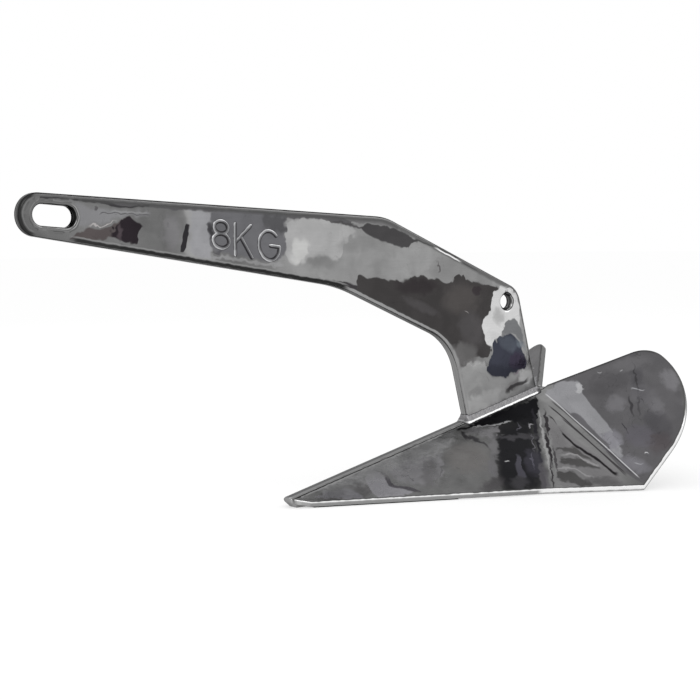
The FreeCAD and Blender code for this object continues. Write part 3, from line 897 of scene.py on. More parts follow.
PLATE_PAINTED_REFLECTIONS: tuple[Reflection, ...] = (
    # nose: painted reflections
    Patch((122, 121, 125), 2.2, 2, (-29.1, 10.1, -19.6, 12.3, -9.3, 13.8, -0.5, 13.9, 6.2, 11.4, 12.8, 7.5),
          (-29.1, 8, -9.3, 6.8, 12.7, 5.3)),
    Patch((104, 103, 104), 3, 1.8, (-4.9, 19.6, 5.6, 23.7, 16.2, 26.4, 22.3, 26.5, 28.3, 25), (-4.9, 15.1,
          4, 13.4, 8.4, 9.6, 15.8, 8.6, 21.7, 9.2, 27.8, 11.4)),
    Patch((140, 139, 143), 1.8, 1.2, (14.8, 19.1, 19.1, 23.4, 26.7, 24.5, 32, 22.3, 34.3, 17.3, 39.9, 13.3,
          48.8, 11.4, 57.7, 9.1), (14.8, 17.9, 18.1, 14.3, 21.7, 9.2, 27.6, 6.3, 42.5, 6.1, 57.6, 7.4)),
    Patch((84, 82, 86), 1.2, 0.8, (16.2, 26, 23.8, 26.7, 31.3, 24.5, 35.7, 21.2, 40, 15.3, 48.9, 13.2,
          56.4, 12.1, 65.2, 8.5), (16.1, 24.2, 23.7, 24.9, 31.2, 22.2, 33.7, 17.8, 38, 13.1, 48.8, 11.3,
          56.2, 9.4, 65.2, 7.6)),
    # share: painted reflections
    Patch((150, 150, 151), 10, 2, (-23.8, 15.9, 1.1, 24.4, 28.6, 33, 56.9, 42.7, 85.9, 51.9, 100.8, 56.2),
          (-23.7, 11.5, 1, 14.8, 28.1, 21, 55.9, 27.3, 84.4, 35.4, 99.8, 46.6), 0.8),
    Patch((134, 133, 136), 5, 3, (39, 27, 53.1, 32.2, 68.7, 33.4, 87.7, 37.2), (38.7, 20.8, 52.1, 15.2,
          67.2, 13.9, 86.1, 20), 0.7),
    Stroke((86, 85, 87), 0.7, 1.2, (50, 18.8, 53.2, 21.4, 56.8, 18, 60.6, 18.3), 0.7),
    Spot((92, 91, 92), 7, 2, (74, 23), (6, 9.1), -19, 0.6),
    Stroke((84, 82, 84), 1.8, 1.4, (77.1, 10.7, 79.9, 16.5, 84.3, 23.8, 88.7, 31.3, 91.9, 39), 0.6),
    Spot((116, 114, 113), 10, 2, (110.1, 32.4), (17.7, 10.6), -2),
    # painted shadow of the weld, and a block of painted black reflection
    Patch((24, 24, 26), 1.6, 1.6, (102, 56.3, 115.6, 58.5, 127.1, 62.6, 141.2, 66.9, 156.7, 70.5, 172.5, 75.3,
          187.2, 79.8), (101.8, 54.5, 115.2, 55.8, 126.3, 57.1, 139.8, 57.4, 149.9, 59.1, 159.8, 59.1,
          171.8, 56.8, 185.1, 68.1)),
    Patch((36, 36, 38), 13, 2, (137.7, 38.1, 142.4, 45.9, 147.6, 51.8, 159.5, 57, 172.6, 61.2, 180.8, 65.1,
          185.7, 64.9), (137.1, 25.5, 138, 12.1, 142.1, 7.7, 153.6, 6.5, 170, 5.8, 174.8, 5.7)),
    Patch((40, 39, 43), 1.6, 1.6, (178, 66.6, 184.1, 72.3, 188.6, 74.8, 188.9, 51.3, 189.2, 27.4),
          (167.3, 6.6, 175.7, 5.5, 180.9, 5.7)),
    # painted reflections in a scroll before the black block
    Patch((116, 115, 117), 3, 3, (107.9, 54.8, 122.5, 55.6, 134.8, 56.4, 144.6, 56.5), (107.7, 53.1,
          121.8, 49.7, 133.7, 48.3, 143.8, 50.9)),
    Patch((60, 59, 61), 2, 2.2, (105.9, 53.2, 113.3, 49.9, 120.2, 47.3, 125.9, 44.8, 132.4, 39.3),
          (105.8, 52.4, 110.5, 46.4, 119.9, 44.6, 125.7, 42.8, 132.8, 37.7)),
    Stroke((150, 150, 151), 1, 1.2, (114.6, 55.7, 126.3, 57.1, 134.9, 57.4, 144.8, 57.7, 154.9, 59.3,
           158.5, 59)),
    Spot((114, 113, 115), 5, 2, (136.3, 41.2), (3.1, 8.9), -2),
    Spot((110, 109, 112), 4, 2, (133.2, 23.7), (3.6, 6.6), 6, 0.7),
    Spot((74, 73, 76), 4, 2, (160.2, 46.6), (15.9, 1.6), -1),
    # painted reflections, shapes and ticks in the black block
    Patch((74, 73, 80), 2.4, 1, (155.1, 27.6, 157.6, 32.2, 160.2, 31.5, 160.5, 23, 164.2, 16.6), (154.1, 21.8,
          155.4, 17, 158, 14.8, 163.8, 14)),
    Spot((62, 61, 68), 8, 2, (173.1, 25.9), (8.4, 8.8), -2),
    Spot((70, 69, 72), 5, 2, (156.8, 11.2), (7.1, 3.8), -3, 0.7),
    Stroke((168, 168, 168), 0.7, 0.4, (144.2, 27.9, 147.6, 28.1, 150.6, 27.4)),
    Spot((140, 139, 142), 1.2, 2, (174.3, 55.7), (2.5, 1.2), 14, 1),
    Spot((112, 110, 116), 0.9, 2, (174.3, 41.7), (0.6, 4.3), -6),
    Spot((98, 96, 104), 0.9, 2, (162.4, 54.1), (0.7, 2.6), -20),
    Spot((96, 94, 104), 0.9, 2, (171.4, 27.9), (0.5, 4), -7, 0.7),
    Spot((74, 72, 74), 6, 2, (130.8, 10.5), (8.8, 3.7), 13),
    # skirt: painted reflections
    Patch((122, 122, 123), 1.6, 1.4, (190.1, 79.8, 194.2, 83.2, 197.4, 78.8, 198.3, 67.7), (184.8, 51.4,
          185.1, 19.7, 185.4, 5.2, 185.8, 4.4)),
    Spot((96, 94, 98), 3, 2, (180.1, 13.6), (3.8, 9.2), -2, 0.7),
    Patch((122, 121, 122), 4, 2, (193.5, 62.2, 203.4, 53.7, 217.3, 42.4, 228.4, 34.1, 241, 25.9, 254.3, 15.1),
          (182.9, 7, 217, 5.4, 251.7, 5.3)),
    Spot((56, 54, 56), 1, 1.6, (191.2, 56.7), (1.5, 10.4), 2, 1),
    Spot((54, 52, 54), 1, 1.6, (189.2, 36.5), (1.5, 13.1), 2, 1),
    Spot((58, 56, 58), 1, 1.6, (187.7, 17), (1.4, 11.3), 3, 1),
    Spot((70, 68, 70), 1, 1.6, (193.5, 27.1), (1.1, 9.1), 1, 0.9),
    Spot((160, 160, 160), 1, 1.2, (186.1, 40.5), (1, 24.8), 2),
    # brush marks of the skirt, painted as dark and light reflections
    Patch((84, 83, 83), 2.2, 1.8, (195.8, 36.3, 208.1, 37.3, 222.7, 30.3, 228.4, 27.3), (195.4, 34.4,
          207.2, 33.1, 222, 27.4, 228, 25.7)),
    Patch((82, 81, 81), 2.2, 1.8, (198.1, 28.1, 211.1, 28.6, 225.9, 23.4, 236.2, 19.5), (197.4, 24.4,
          209.7, 22.5, 225.2, 20.4, 235.7, 17.7)),
    Patch((78, 77, 77), 2.2, 1.8, (192.7, 16.8, 204.1, 18.4, 215.4, 12.4, 224.3, 9.6), (191.9, 13,
          202.3, 10.2, 214.1, 6.6, 223.4, 5.8)),
    Stroke((150, 149, 150), 1.4, 1.2, (197.1, 31, 210.1, 31.4, 221.7, 26.1, 236.5, 20.8), 0.9),
    Stroke((148, 147, 148), 1.4, 1.2, (191.8, 20.4, 204.6, 20.6, 219.3, 15.3, 237.2, 10.5), 0.9),
    Spot((94, 93, 94), 4, 2, (236.8, 9.2), (13.9, 3.5), -7),
    # painted shade lines along the wing's crease
    Stroke((58, 56, 58), 1.6, 0.8, (194.7, 72.3, 204, 64.8, 217.8, 51.9, 229.9, 40.5, 243.2, 28.4,
           260.2, 13.4)),
    Stroke((34, 32, 34), 2.7, 1.4, (201.7, 53.7, 204.7, 48.2, 210.8, 42.3, 216.1, 37.1, 223.3, 33.2,
           233.2, 27.1, 239.9, 21.7, 247.9, 15.3, 253.2, 14.1)),
    Stroke((60, 58, 60), 1.5, 1.2, (193.3, 62.8, 197.4, 60.7, 201.7, 53.7)),
    Stroke((62, 60, 62), 1.3, 0.8, (205, 61.9, 218.9, 49.9, 233.9, 36.6, 248.2, 22.8, 259.7, 11.7), 0.9),
    # wing: painted reflections
    Patch((95, 94, 96), 1.4, 0.9, (202.4, 103.4, 227.5, 122.7, 291.3, 142.6, 346.3, 143.3), (194.9, 83.1,
          233.8, 43.9, 270.7, 7.7, 318.7, -4.2)),
    Spot((84, 83, 85), 8, 2, (254.4, 91.7), (17.7, 8.6), 20),
    Spot((82, 81, 84), 7, 2, (281.9, 100.7), (3.9, 16.8), 1),
    Spot((80, 79, 82), 9, 2, (293.4, 58.2), (9.4, 12.2), 20),
    Spot((116, 115, 118), 6, 2, (258.6, 73.9), (8.1, 5.5), 29),
    Spot((112, 111, 114), 7, 2, (295.2, 73.5), (5, 5.3), 2),
    Spot((122, 121, 124), 7, 2, (311.8, 96.8), (7, 8.5), 20, 0.9),
    Spot((110, 109, 111), 8, 2, (277.2, 111.2), (14.3, 5.1), 13),
    Spot((106, 105, 108), 9, 2, (286.1, 81.3), (10.5, 9), 2, 0.6),
    Spot((99, 97, 103), 8, 2, (276.1, 46.9), (11.8, 8.7), 2),
    Spot((86, 81, 83), 8, 2, (293.5, 41.9), (9.5, 6.5), 29),
    # painted pale reflection in a wedge along the crease, with a painted highlight line
    Patch((145, 145, 148), 2.6, 1.8, (194.3, 81.5, 203.1, 89.7, 214.5, 94.1, 222.7, 94.4, 229.9, 90,
          230.4, 82.5, 235.8, 73.2, 244.1, 62.1, 250.4, 53.2, 252.4, 46.8, 259, 36.3), (194.2, 80.3,
          214.2, 65.9, 231.9, 49.6, 245, 36.5, 257.4, 25.4)),
    Spot((133, 132, 138), 5, 2, (249.6, 42.4), (8, 9.6), -47),
    Patch((100, 99, 102), 2.4, 3.2, (215.8, 64.5, 223.1, 63.5, 232.4, 53.6, 241.6, 43.8, 247.6, 39.1),
          (215.6, 62.2, 222.2, 57, 231.5, 47.2, 240.7, 37.5, 247, 34.9)),
    Spot((176, 176, 178), 1.8, 2, (226.7, 86.9), (3.3, 4.7), -9, 1),
    Spot((122, 121, 126), 6, 2, (267.9, 22.7), (10.9, 5.1), -18),
    Stroke((62, 61, 63), 1.6, 0.8, (197.7, 76.6, 213.8, 62.9, 231.4, 46.3, 247.2, 31.5, 266.4, 12.9), 0.8),
    Stroke((188, 188, 190), 1.4, 0.8, (192.6, 83, 204.3, 73.4, 218.1, 60.1, 231.6, 48, 244.9, 35.8,
           257.8, 23.2, 271.7, 10)),
    # scratches and curls
    Stroke((162, 162, 164), 0.8, 0.6, (245, 103.5, 247.4, 102, 250.2, 103.3)),
    Stroke((156, 156, 158), 0.8, 0.6, (266.2, 103.4, 268.2, 104.3, 270.4, 105)),
    Stroke((158, 158, 161), 1, 0.8, (273.7, 86.9, 278.2, 88.2, 282.5, 87.2, 287.8, 88.5)),
    Stroke((190, 190, 192), 0.8, 0.6, (277.2, 31.5, 279.4, 33, 282.1, 31.5)),
    Stroke((150, 150, 154), 0.8, 0.6, (266.6, 23.6, 270.9, 23.2, 276.1, 24.3)),
    Spot((50, 49, 51), 0.9, 2, (281, 98.4), (0.8, 10.6), 3, 0.6),
    Spot((46, 45, 48), 1.2, 1.2, (271.8, 73.2), (1.1, 7.4), 6, 0.7),
    Spot((54, 53, 56), 1.2, 1.2, (279.1, 73.5), (0.9, 7), -4, 0.45),
    Stroke((50, 49, 52), 1.7, 1.4, (261.8, 57.5, 264.5, 52.9, 266.7, 47), 0.9),
    Stroke((60, 59, 62), 1.4, 1.4, (280.1, 81.4, 284.5, 76.6, 286.4, 66.7), 0.6),
)
BRUSHED_FOOT: tuple[Patch, ...] = (
    Patch((0, 0, 0), 14, 2, (92, 118, 130, 116, 160, 112, 190, 110), (92, 50, 130, 56, 160, 66, 190, 76)),
)
BRUSHED_PATCHES: tuple[Patch, ...] = (
    Patch((0, 0, 0), 4, 2, (186, 66, 203, 46, 225, 30, 250, 12), (184, 6, 203, 6, 225, 7, 250, 8)),
)

# Painted reflections, highlights and shade along the shank's edges
SHANK_BANDS: tuple[Band, ...] = (
    # outside, upper edges
    Band((0, 0, 1), ((0, 60, 0.95), (0.8, 58, 0.95), (1.3, 112, 0.9), (2.6, 104, 0.85), (3.6, 78, 0.75),
         (4.6, 84, 0.6), (6.5, 84, 0))),
    # outside, glint after the top bend
    Band((0.5, 0, 0.86), ((0, 70, 0.95), (0.8, 84, 0.9), (1.3, 48, 0.95), (2.6, 46, 0.95), (3, 252, 1),
         (4, 252, 1), (4.5, 84, 0.4), (6, 90, 0)), between=(84, 106)),
    # outside, lower edges up to the first bend
    Band((0, 0, -1), ((0, 96, 0.9), (0.7, 104, 0.9), (1.2, 46, 0.95), (3.3, 40, 0.95), (3.9, 120, 0.8),
         (4.6, 152, 0.8), (5.4, 140, 0)), between=(-215, 0)),
    # outside, lower edges after it and the front of the leg
    Band((-0.7, 0, -0.7), ((0, 150, 0.95), (2.2, 156, 0.95), (3, 158, 0.9), (3.5, 84, 0.6), (4.2, 84, 0)),
         narrow=(0.3, 0.6), between=(0, 98)),
    Band((-0.7, 0, -0.7), ((0, 128, 0.95), (0.8, 150, 0.9), (2.4, 158, 0.8), (4.6, 150, 0)),
         narrow=(0.3, 0.6), between=(98, 400)),
    # outside, rear of the leg
    Band((0.97, 0, 0.25), ((0, 150, 0.9), (0.8, 160, 0.9), (1.6, 112, 0.8), (2.6, 70, 0.85), (3.2, 120, 0.6),
         (4, 150, 0))),
    # outside, ring end
    Band((-1, 0, 0), ((0, 50, 0.95), (1.6, 46, 0.95), (2.5, 92, 0.85), (3.2, 128, 0.8), (4.4, 96, 0.7),
         (6, 82, 0)), narrow=(0.1, 0.5), between=(-400, -190)),
    # slot
    Band((0, 0, -1), ((0, 70, 0.95), (0.6, 60, 0.9), (1.3, 118, 0.9), (2.5, 100, 0.85), (3.2, 142, 0.7),
         (4.2, 112, 0)), cut=1, narrow=(-0.2, 0.4)),
    Band((0, 0, 1), ((0, 110, 0.9), (0.8, 176, 0.9), (1.6, 96, 0.9), (2.6, 128, 0.8), (3.6, 72, 0.75),
         (4.6, 120, 0)), cut=1, narrow=(-0.1, 0.5)),
    Band((-1, 0, 0), ((0, 30, 1), (0.7, 34, 1), (1.1, 130, 0.9), (1.7, 60, 0.95), (2.4, 172, 0.9),
         (3.2, 110, 0.5), (4.2, 110, 0)), cut=1, narrow=(0.2, 0.7)),
    # eye
    Band((-1, 0, 0), ((0, 120, 1), (0.25, 54, 1), (0.6, 60, 1), (0.85, 168, 1), (1.25, 172, 1), (1.5, 62, 1),
         (2, 60, 0.9), (2.4, 190, 0)), cut=2, narrow=(-2, -1.1)),
    # walls
    Band((0, 0, 1), ((0, 70, 1), (2, 92, 1), (8, 92, 1), (10, 70, 1)), wall=True, narrow=(0.4, 0.7)),
    Band((-1, 0, 0), ((0, 46, 1), (2.4, 44, 1), (3.1, 96, 1), (4.8, 92, 1), (5.6, 140, 1), (6.6, 96, 1),
         (8.5, 88, 1), (10, 84, 1)), wall=True, narrow=(-0.4, 0.2), between=(-400, -190)),
    Band((-0.7, 0, -0.7), ((0, 150, 1), (1.4, 138, 1), (5, 132, 1), (7.2, 146, 1), (8.4, 72, 1), (10, 42, 1)),
         wall=True, narrow=(0.2, 0.6), between=(0, 400)),
    Band((-1, 0, 0), ((0, 44, 1), (3, 30, 1), (5, 60, 1), (6, 34, 1), (10, 28, 1)), cut=1, wall=True,
         narrow=(-0.4, 0.2)),
    Band((-1, 0, 0), ((0, 50, 1), (1.6, 46, 1), (2.6, 128, 1), (3.4, 52, 1), (5.4, 96, 1), (6.6, 44, 1),
         (10, 40, 1)), cut=2, wall=True, narrow=(-0.9, -0.3)),
)
# Painted reflections, highlights and shade along the plates' edges
PLATE_BANDS: tuple[Band, ...] = (
    # spine: a painted shade line where the plate meets the bar, and a painted reflection beside it
    Band((-0.13, -0.85, 0.5), ((0, 20, 1), (1.7, 24, 1), (2.2, 140, 0.85), (3.1, 150, 0.6), (4.2, 120, 0)),
         between=(-60, 196)),
    # lower edges and tail
    Band((-0.1, 0.85, -0.45), ((0, 246, 1), (0.8, 240, 1), (1.15, 76, 0.9), (1.9, 80, 0.7), (2.8, 90, 0))),
    Band((-0.1, 0.85, -0.45), ((0, 226, 1), (0.7, 196, 1), (1.2, 150, 1), (3.6, 138, 1), (4.6, 150, 1),
         (5.2, 52, 1), (6, 48, 1)), wall=True, between=(-44, 176)),
    Band((-0.1, 0.85, -0.45), ((0, 236, 1), (2.4, 244, 1), (3.4, 214, 1), (4.4, 156, 1), (5.2, 58, 1),
         (6, 48, 1)), wall=True, between=(176, 400)),
    # nose
    Band((-0.9, 0.25, -0.3), ((0, 206, 0.9), (0.8, 180, 0.9), (1.6, 120, 0)), narrow=(0.8, 0.9)),
    Band((-0.9, 0.25, -0.3), ((0, 196, 1), (0.8, 150, 1), (5, 140, 1), (6, 84, 1)), wall=True,
         narrow=(0.6, 0.8), between=(-400, -44)),
    # wing's top and outer edges
    Band((0.3, -0.7, 0.65), ((0, 92, 1), (3, 88, 1), (6, 76, 1)), wall=True, between=(196, 400),
         narrow=(0.4, 0.6)),
    Band((0.3, -0.7, 0.65), ((0, 128, 0.9), (0.5, 120, 0.9), (0.9, 58, 0.9), (2.2, 60, 0.8), (3.6, 80, 0)),
         between=(196, 400), narrow=(0.5, 0.7)),
    Band((0.75, 0.38, 0.54), ((0, 120, 0.8), (0.6, 84, 0.8), (1.6, 84, 0.6), (2.8, 90, 0)),
         narrow=(0.6, 0.8)),
)
# Painted reflections along the ridge bar's edges
SPINE_BANDS: tuple[Band, ...] = (
    Band((-0.24, 0, 0.97), ((0, 150, 0.7), (0.5, 140, 0.7), (1, 98, 0.7), (2.4, 100, 0))),
    Band((-1, 0, 0), ((0, 190, 0.9), (0.8, 168, 0.9), (1.8, 150, 0.8), (4, 140, 0)), narrow=(0.5, 0.8)),
    Band((-1, 0, 0), ((0, 160, 1), (1.2, 150, 1), (12, 140, 1)), wall=True, narrow=(0.5, 0.8)),
)


@dataclass(frozen=True)
class PolishedSteel:
    """Mirror-polished stainless steel with painted reflections of a workshop floor in its colour."""

    name: str
    tones: Points
    painted_reflections: tuple[Reflection, ...]
    upper_only: bool = False
    bands: tuple[Band, ...] = ()
    brushed: tuple[Patch, ...] = ()
    wall_reflection_tone: Tone = (120, 120, 121)
    edge_tint: float = 1.0
    roughness: float = 0.16
    brushed_roughness: float = 0.42
    wave: float = 0.5
    scratch: float = 0.012
    wall_turn: Pair = (0.6, 0.9)
    upper_depth: Pair = (0.8, 2.2)
    veins: float = 0.15
    vein_level: float = 0.47
    vein_width: Pair = (0.002, 0.009)
    wobble: float = 2.2
    drift: float = 0.2
    ground_drift: float = 14.0
    broad: Clouds = Clouds(26.0, 2.0, 0.5, 0.6)
    fine: Clouds = Clouds(6.5, 1.5, 0.45, 0.2)
    soft: Clouds = Clouds(22.0, 2.0, 0.45, 0.6)
    winding: Clouds = Clouds(19.0, 2.0, 0.45, 1.6)
    breaks: Clouds = Clouds(30.0, 1.0)
    wear: Clouds = Clouds(40.0, 2.0)
    ripples: Clouds = Clouds(11.0, 2.0, 0.5, 0.5)
    polishing: Clouds = Clouds(1.0, 3.0, 0.6, 0.4)
    polishing_way: Triple = (0.05, 0.5, 0.9)
    scratches: Clouds = Clouds(1.0, 2.0, 0.6)
    scratch_way: Triple = (0.4, 1.5, 6.0)

    def make(self) -> bpy.types.Material:
        """Build the material.

        Returns:
            The material.
        """
        graph = Graph.start(self.name)
        still = Place.read(graph)
        slow, fine = graph.noise(still.spot, self.broad), graph.noise(still.spot, self.fine)
        place = replace(still, wobble=graph.math("MULTIPLY_ADD", fine, 2 * self.wobble, -self.wobble))
        # the painted reflections follow the broad waves a little
        drifted = replace(place, along=graph.math("MULTIPLY_ADD", slow, self.drift, place.along))
        # painted reflection tone along the piece
        colour = self._base(place, slow)
        upper = graph.ramp(graph.attribute("depth"), *self.upper_depth, 1.0, 0.0)
        # painted reflections drawn on the side
        for patch in self.painted_reflections:
            shown = patch.mask(drifted)
            if self.upper_only:
                shown = graph.math("MULTIPLY", shown, upper)
            colour = graph.mix(shown, colour, patch.tone)
        colour = self._clouds(place, colour)
        # walls get a painted reflection tone of their own
        colour = graph.mix(graph.ramp(graph.attribute("turn"), *self.wall_turn), colour, self.wall_reflection_tone)
        # painted reflections and shade along the edges
        for band in self.bands:
            colour = band.over(drifted, colour)
        shader = graph.metal(colour, self._roughness(place, upper), self.edge_tint)
        graph.bump(shader, self._waves(place, slow), 0.5)
        return graph.finish(shader)

    def _base(self, place: Place, slow: Socket) -> Socket:
        """The painted reflection tone along the piece.

        Args:
            place: Where the point is.
            slow: Broad noise.

        Returns:
            The colour.
        """
        graph = place.graph
        drift = graph.math("MULTIPLY_ADD", slow, self.ground_drift, -self.ground_drift / 2)
        lit = graph.curve(graph.math("ADD", place.along, drift), self.tones)
        grey = graph.math("POWER", graph.math("DIVIDE", lit, 255.0), GAMMA)
        return graph.grey(graph.math("MULTIPLY", grey, graph.ramp(slow, *USUAL, 0.91, 1.09)))

    def _clouds(self, place: Place, colour: Socket) -> Socket:
        """Soft clouds, thin winding lines and faint polishing marks over the colour.

        Args:
            place: Where the point is.
            colour: The colour below.

        Returns:
            The colour with all three.
        """
        graph, spot = place.graph, place.spot
        cloud = graph.noise(spot, self.soft)
        lines = graph.noise(graph.stretched(spot, self.polishing_way), self.polishing)
        shade = graph.math("MULTIPLY", graph.ramp(cloud, *USUAL, 0.93, 1.07),
                           graph.ramp(lines, 0.25, 0.75, 0.975, 1.025))
        bend = graph.noise(spot, self.winding)
        away = graph.math("ABSOLUTE", graph.math("SUBTRACT", bend, self.vein_level))
        broken = graph.ramp(graph.noise(spot, self.breaks), 0.5, 0.62)
        vein = graph.math("MULTIPLY", graph.ramp(away, *self.vein_width, self.veins, 0.0), broken)
        shade = graph.math("MULTIPLY", shade, graph.math("SUBTRACT", 1.0, vein))
        return graph.mix(1.0, colour, graph.grey(shade), "MULTIPLY")

    def _roughness(self, place: Place, upper: Socket) -> Socket:
        """Roughness, higher where the grinder has been.

        Args:
            place: Where the point is.
            upper: 1 on the upper face.

        Returns:
            The roughness.
        """
        graph = place.graph
        wear = graph.noise(place.spot, self.wear)
        rough = graph.ramp(wear, *USUAL, self.roughness * 0.75, self.roughness * 1.3)
        for patch in self.brushed:
            shown = graph.math("MULTIPLY", patch.mask(place), upper)
            rough = graph.math("MAXIMUM", rough, graph.math("MULTIPLY", shown, self.brushed_roughness))
        return rough

    def _waves(self, place: Place, slow: Socket) -> Socket:
        """Slight waves of a hand-polished face, with fine polishing scratches.

        Args:
            place: Where the point is.
            slow: Broad noise.

        Returns:
            The height of the face.
        """
        graph = place.graph
        ripple = graph.noise(place.spot, self.ripples)
        scratch = graph.noise(graph.stretched(place.spot, self.scratch_way), self.scratches)
        height = graph.math("MULTIPLY_ADD", ripple, self.wave, graph.math("MULTIPLY", slow, self.wave))
        return graph.math("MULTIPLY_ADD", scratch, self.scratch, height)


@dataclass(frozen=True)
class WeldMetal:
    """Bead of weld, brushed after welding: grey and rippled, with a painted highlight line and painted shade
    at its toes and ends.
    """

    name: str
    tone: Tone = (126, 126, 128)
    pale: Tone = (150, 149, 150)
    rippled: Tone = (112, 110, 112)
    shadow: Tone = (48, 47, 49)
    glint: Tone = (250, 250, 250)
    roughness: float = 0.33
    grain: Clouds = Clouds(3.2, 3.0, 0.6, 0.6)
    ripple_scale: float = 0.16
    ripple_height: float = 0.35
    crests: Pair = (0.55, 0.95)
    low_toe: Pair = (0.08, 0.16)     # shares of the way across the bead
    line: Pair = (0.68, 0.73)
    high_toe: Pair = (0.83, 0.89)
    end_shade: Pair = (0.3, 0.6)

    def make(self) -> bpy.types.Material:
        """Build the material.

        Returns:
            The material.
        """
        graph = Graph.start(self.name)
        spot = Place.read(graph).spot
        across = graph.attribute("across")
        grain = graph.noise(spot, self.grain)
        loose = graph.math("MULTIPLY_ADD", grain, 0.1, graph.math("SUBTRACT", across, 0.05))
        ripple = graph.node("TexWave", spot, self.ripple_scale, 2.0, 2.0, 0.6,
                            wave_type="BANDS", bands_direction="X").outputs[1]
        colour = graph.mix(graph.ramp(grain, *USUAL), self.tone, self.pale)
        colour = graph.mix(graph.ramp(ripple, *self.crests, 0.0, 0.4), colour, self.rippled)
        # painted shade along the toe on the shank
        colour = graph.mix(graph.ramp(loose, *self.low_toe, 1.0, 0.0), colour, self.shadow)
        # painted highlight line, only along the long sides
        highlight_line = graph.math("MULTIPLY", graph.ramp(loose, *self.line), graph.attribute("beside"))
        colour = graph.mix(highlight_line, colour, self.glint)
        # painted shade along the toe on the plate
        colour = graph.mix(graph.ramp(loose, *self.high_toe), colour, self.shadow)
        # painted shade over the bead's front and rear ends
        ends = graph.math("SUBTRACT", 1.0, graph.attribute("beside"))
        ends = graph.math("MULTIPLY", ends, graph.ramp(loose, *self.end_shade, 0.0, 0.8))
        colour = graph.mix(ends, colour, self.shadow)
        rough = graph.ramp(grain, *USUAL, self.roughness * 0.8, self.roughness * 1.25)
        shader = graph.metal(colour, rough)
        graph.bump(shader, graph.math("MULTIPLY_ADD", ripple, self.ripple_height, grain), 0.6)
        return graph.finish(shader)


@dataclass(frozen=True)
class DullSteel:
    """Mill-finish steel of the hidden nose filling."""

    name: str
    tone: Tone
    roughness: float = 0.42
    scale: Clouds = Clouds(14.0, 4.0, 0.6, 0.8)
    rolling: Clouds = Clouds(1.0, 3.0, 0.6)
    rolling_way: Triple = (0.06, 1.4, 1.4)
    darker: float = 0.78
    lighter: float = 1.14

    def make(self) -> bpy.types.Material:
        """Build the material.

        Returns:
            The material.
        """
        graph = Graph.start(self.name)
        spot = Place.read(graph).spot
        cloud = graph.noise(spot, self.scale)
        lines = graph.noise(graph.stretched(spot, self.rolling_way), self.rolling)
        darker = tuple(round(value * self.darker) for value in self.tone)
        lighter = tuple(min(255, round(value * self.lighter)) for value in self.tone)
        colour = graph.mix(graph.ramp(cloud, *USUAL), darker, self.tone)
        colour = graph.mix(graph.ramp(lines, 0.45, 0.8, 0.0, 0.6), colour, lighter)
        rough = graph.ramp(cloud, *USUAL, self.roughness * 0.8, self.roughness * 1.2)
        shader = graph.metal(colour, rough)
        graph.bump(shader, graph.math("ADD", cloud, lines), 0.35, 0.5)
        return graph.finish(shader)


# The line that the bar, the plates and the shank's foot share

@dataclass(frozen=True)
class Spine:
    """Top of the ridge bar, a straight line that climbs from the point to the wings."""

    slope: float = 14.07
    top: float = 10.008
    reach: float = 313.1
    overhang: float = 7.5

    @property
    def rise(self) -> float:
        """How much the line climbs for each millimetre along X."""
        return math.tan(math.radians(self.slope))

    def height(self, x: float | np.ndarray) -> float | np.ndarray:
        """Height of the line at a distance behind the point."""
        return self.top + x * self.rise


# Shank

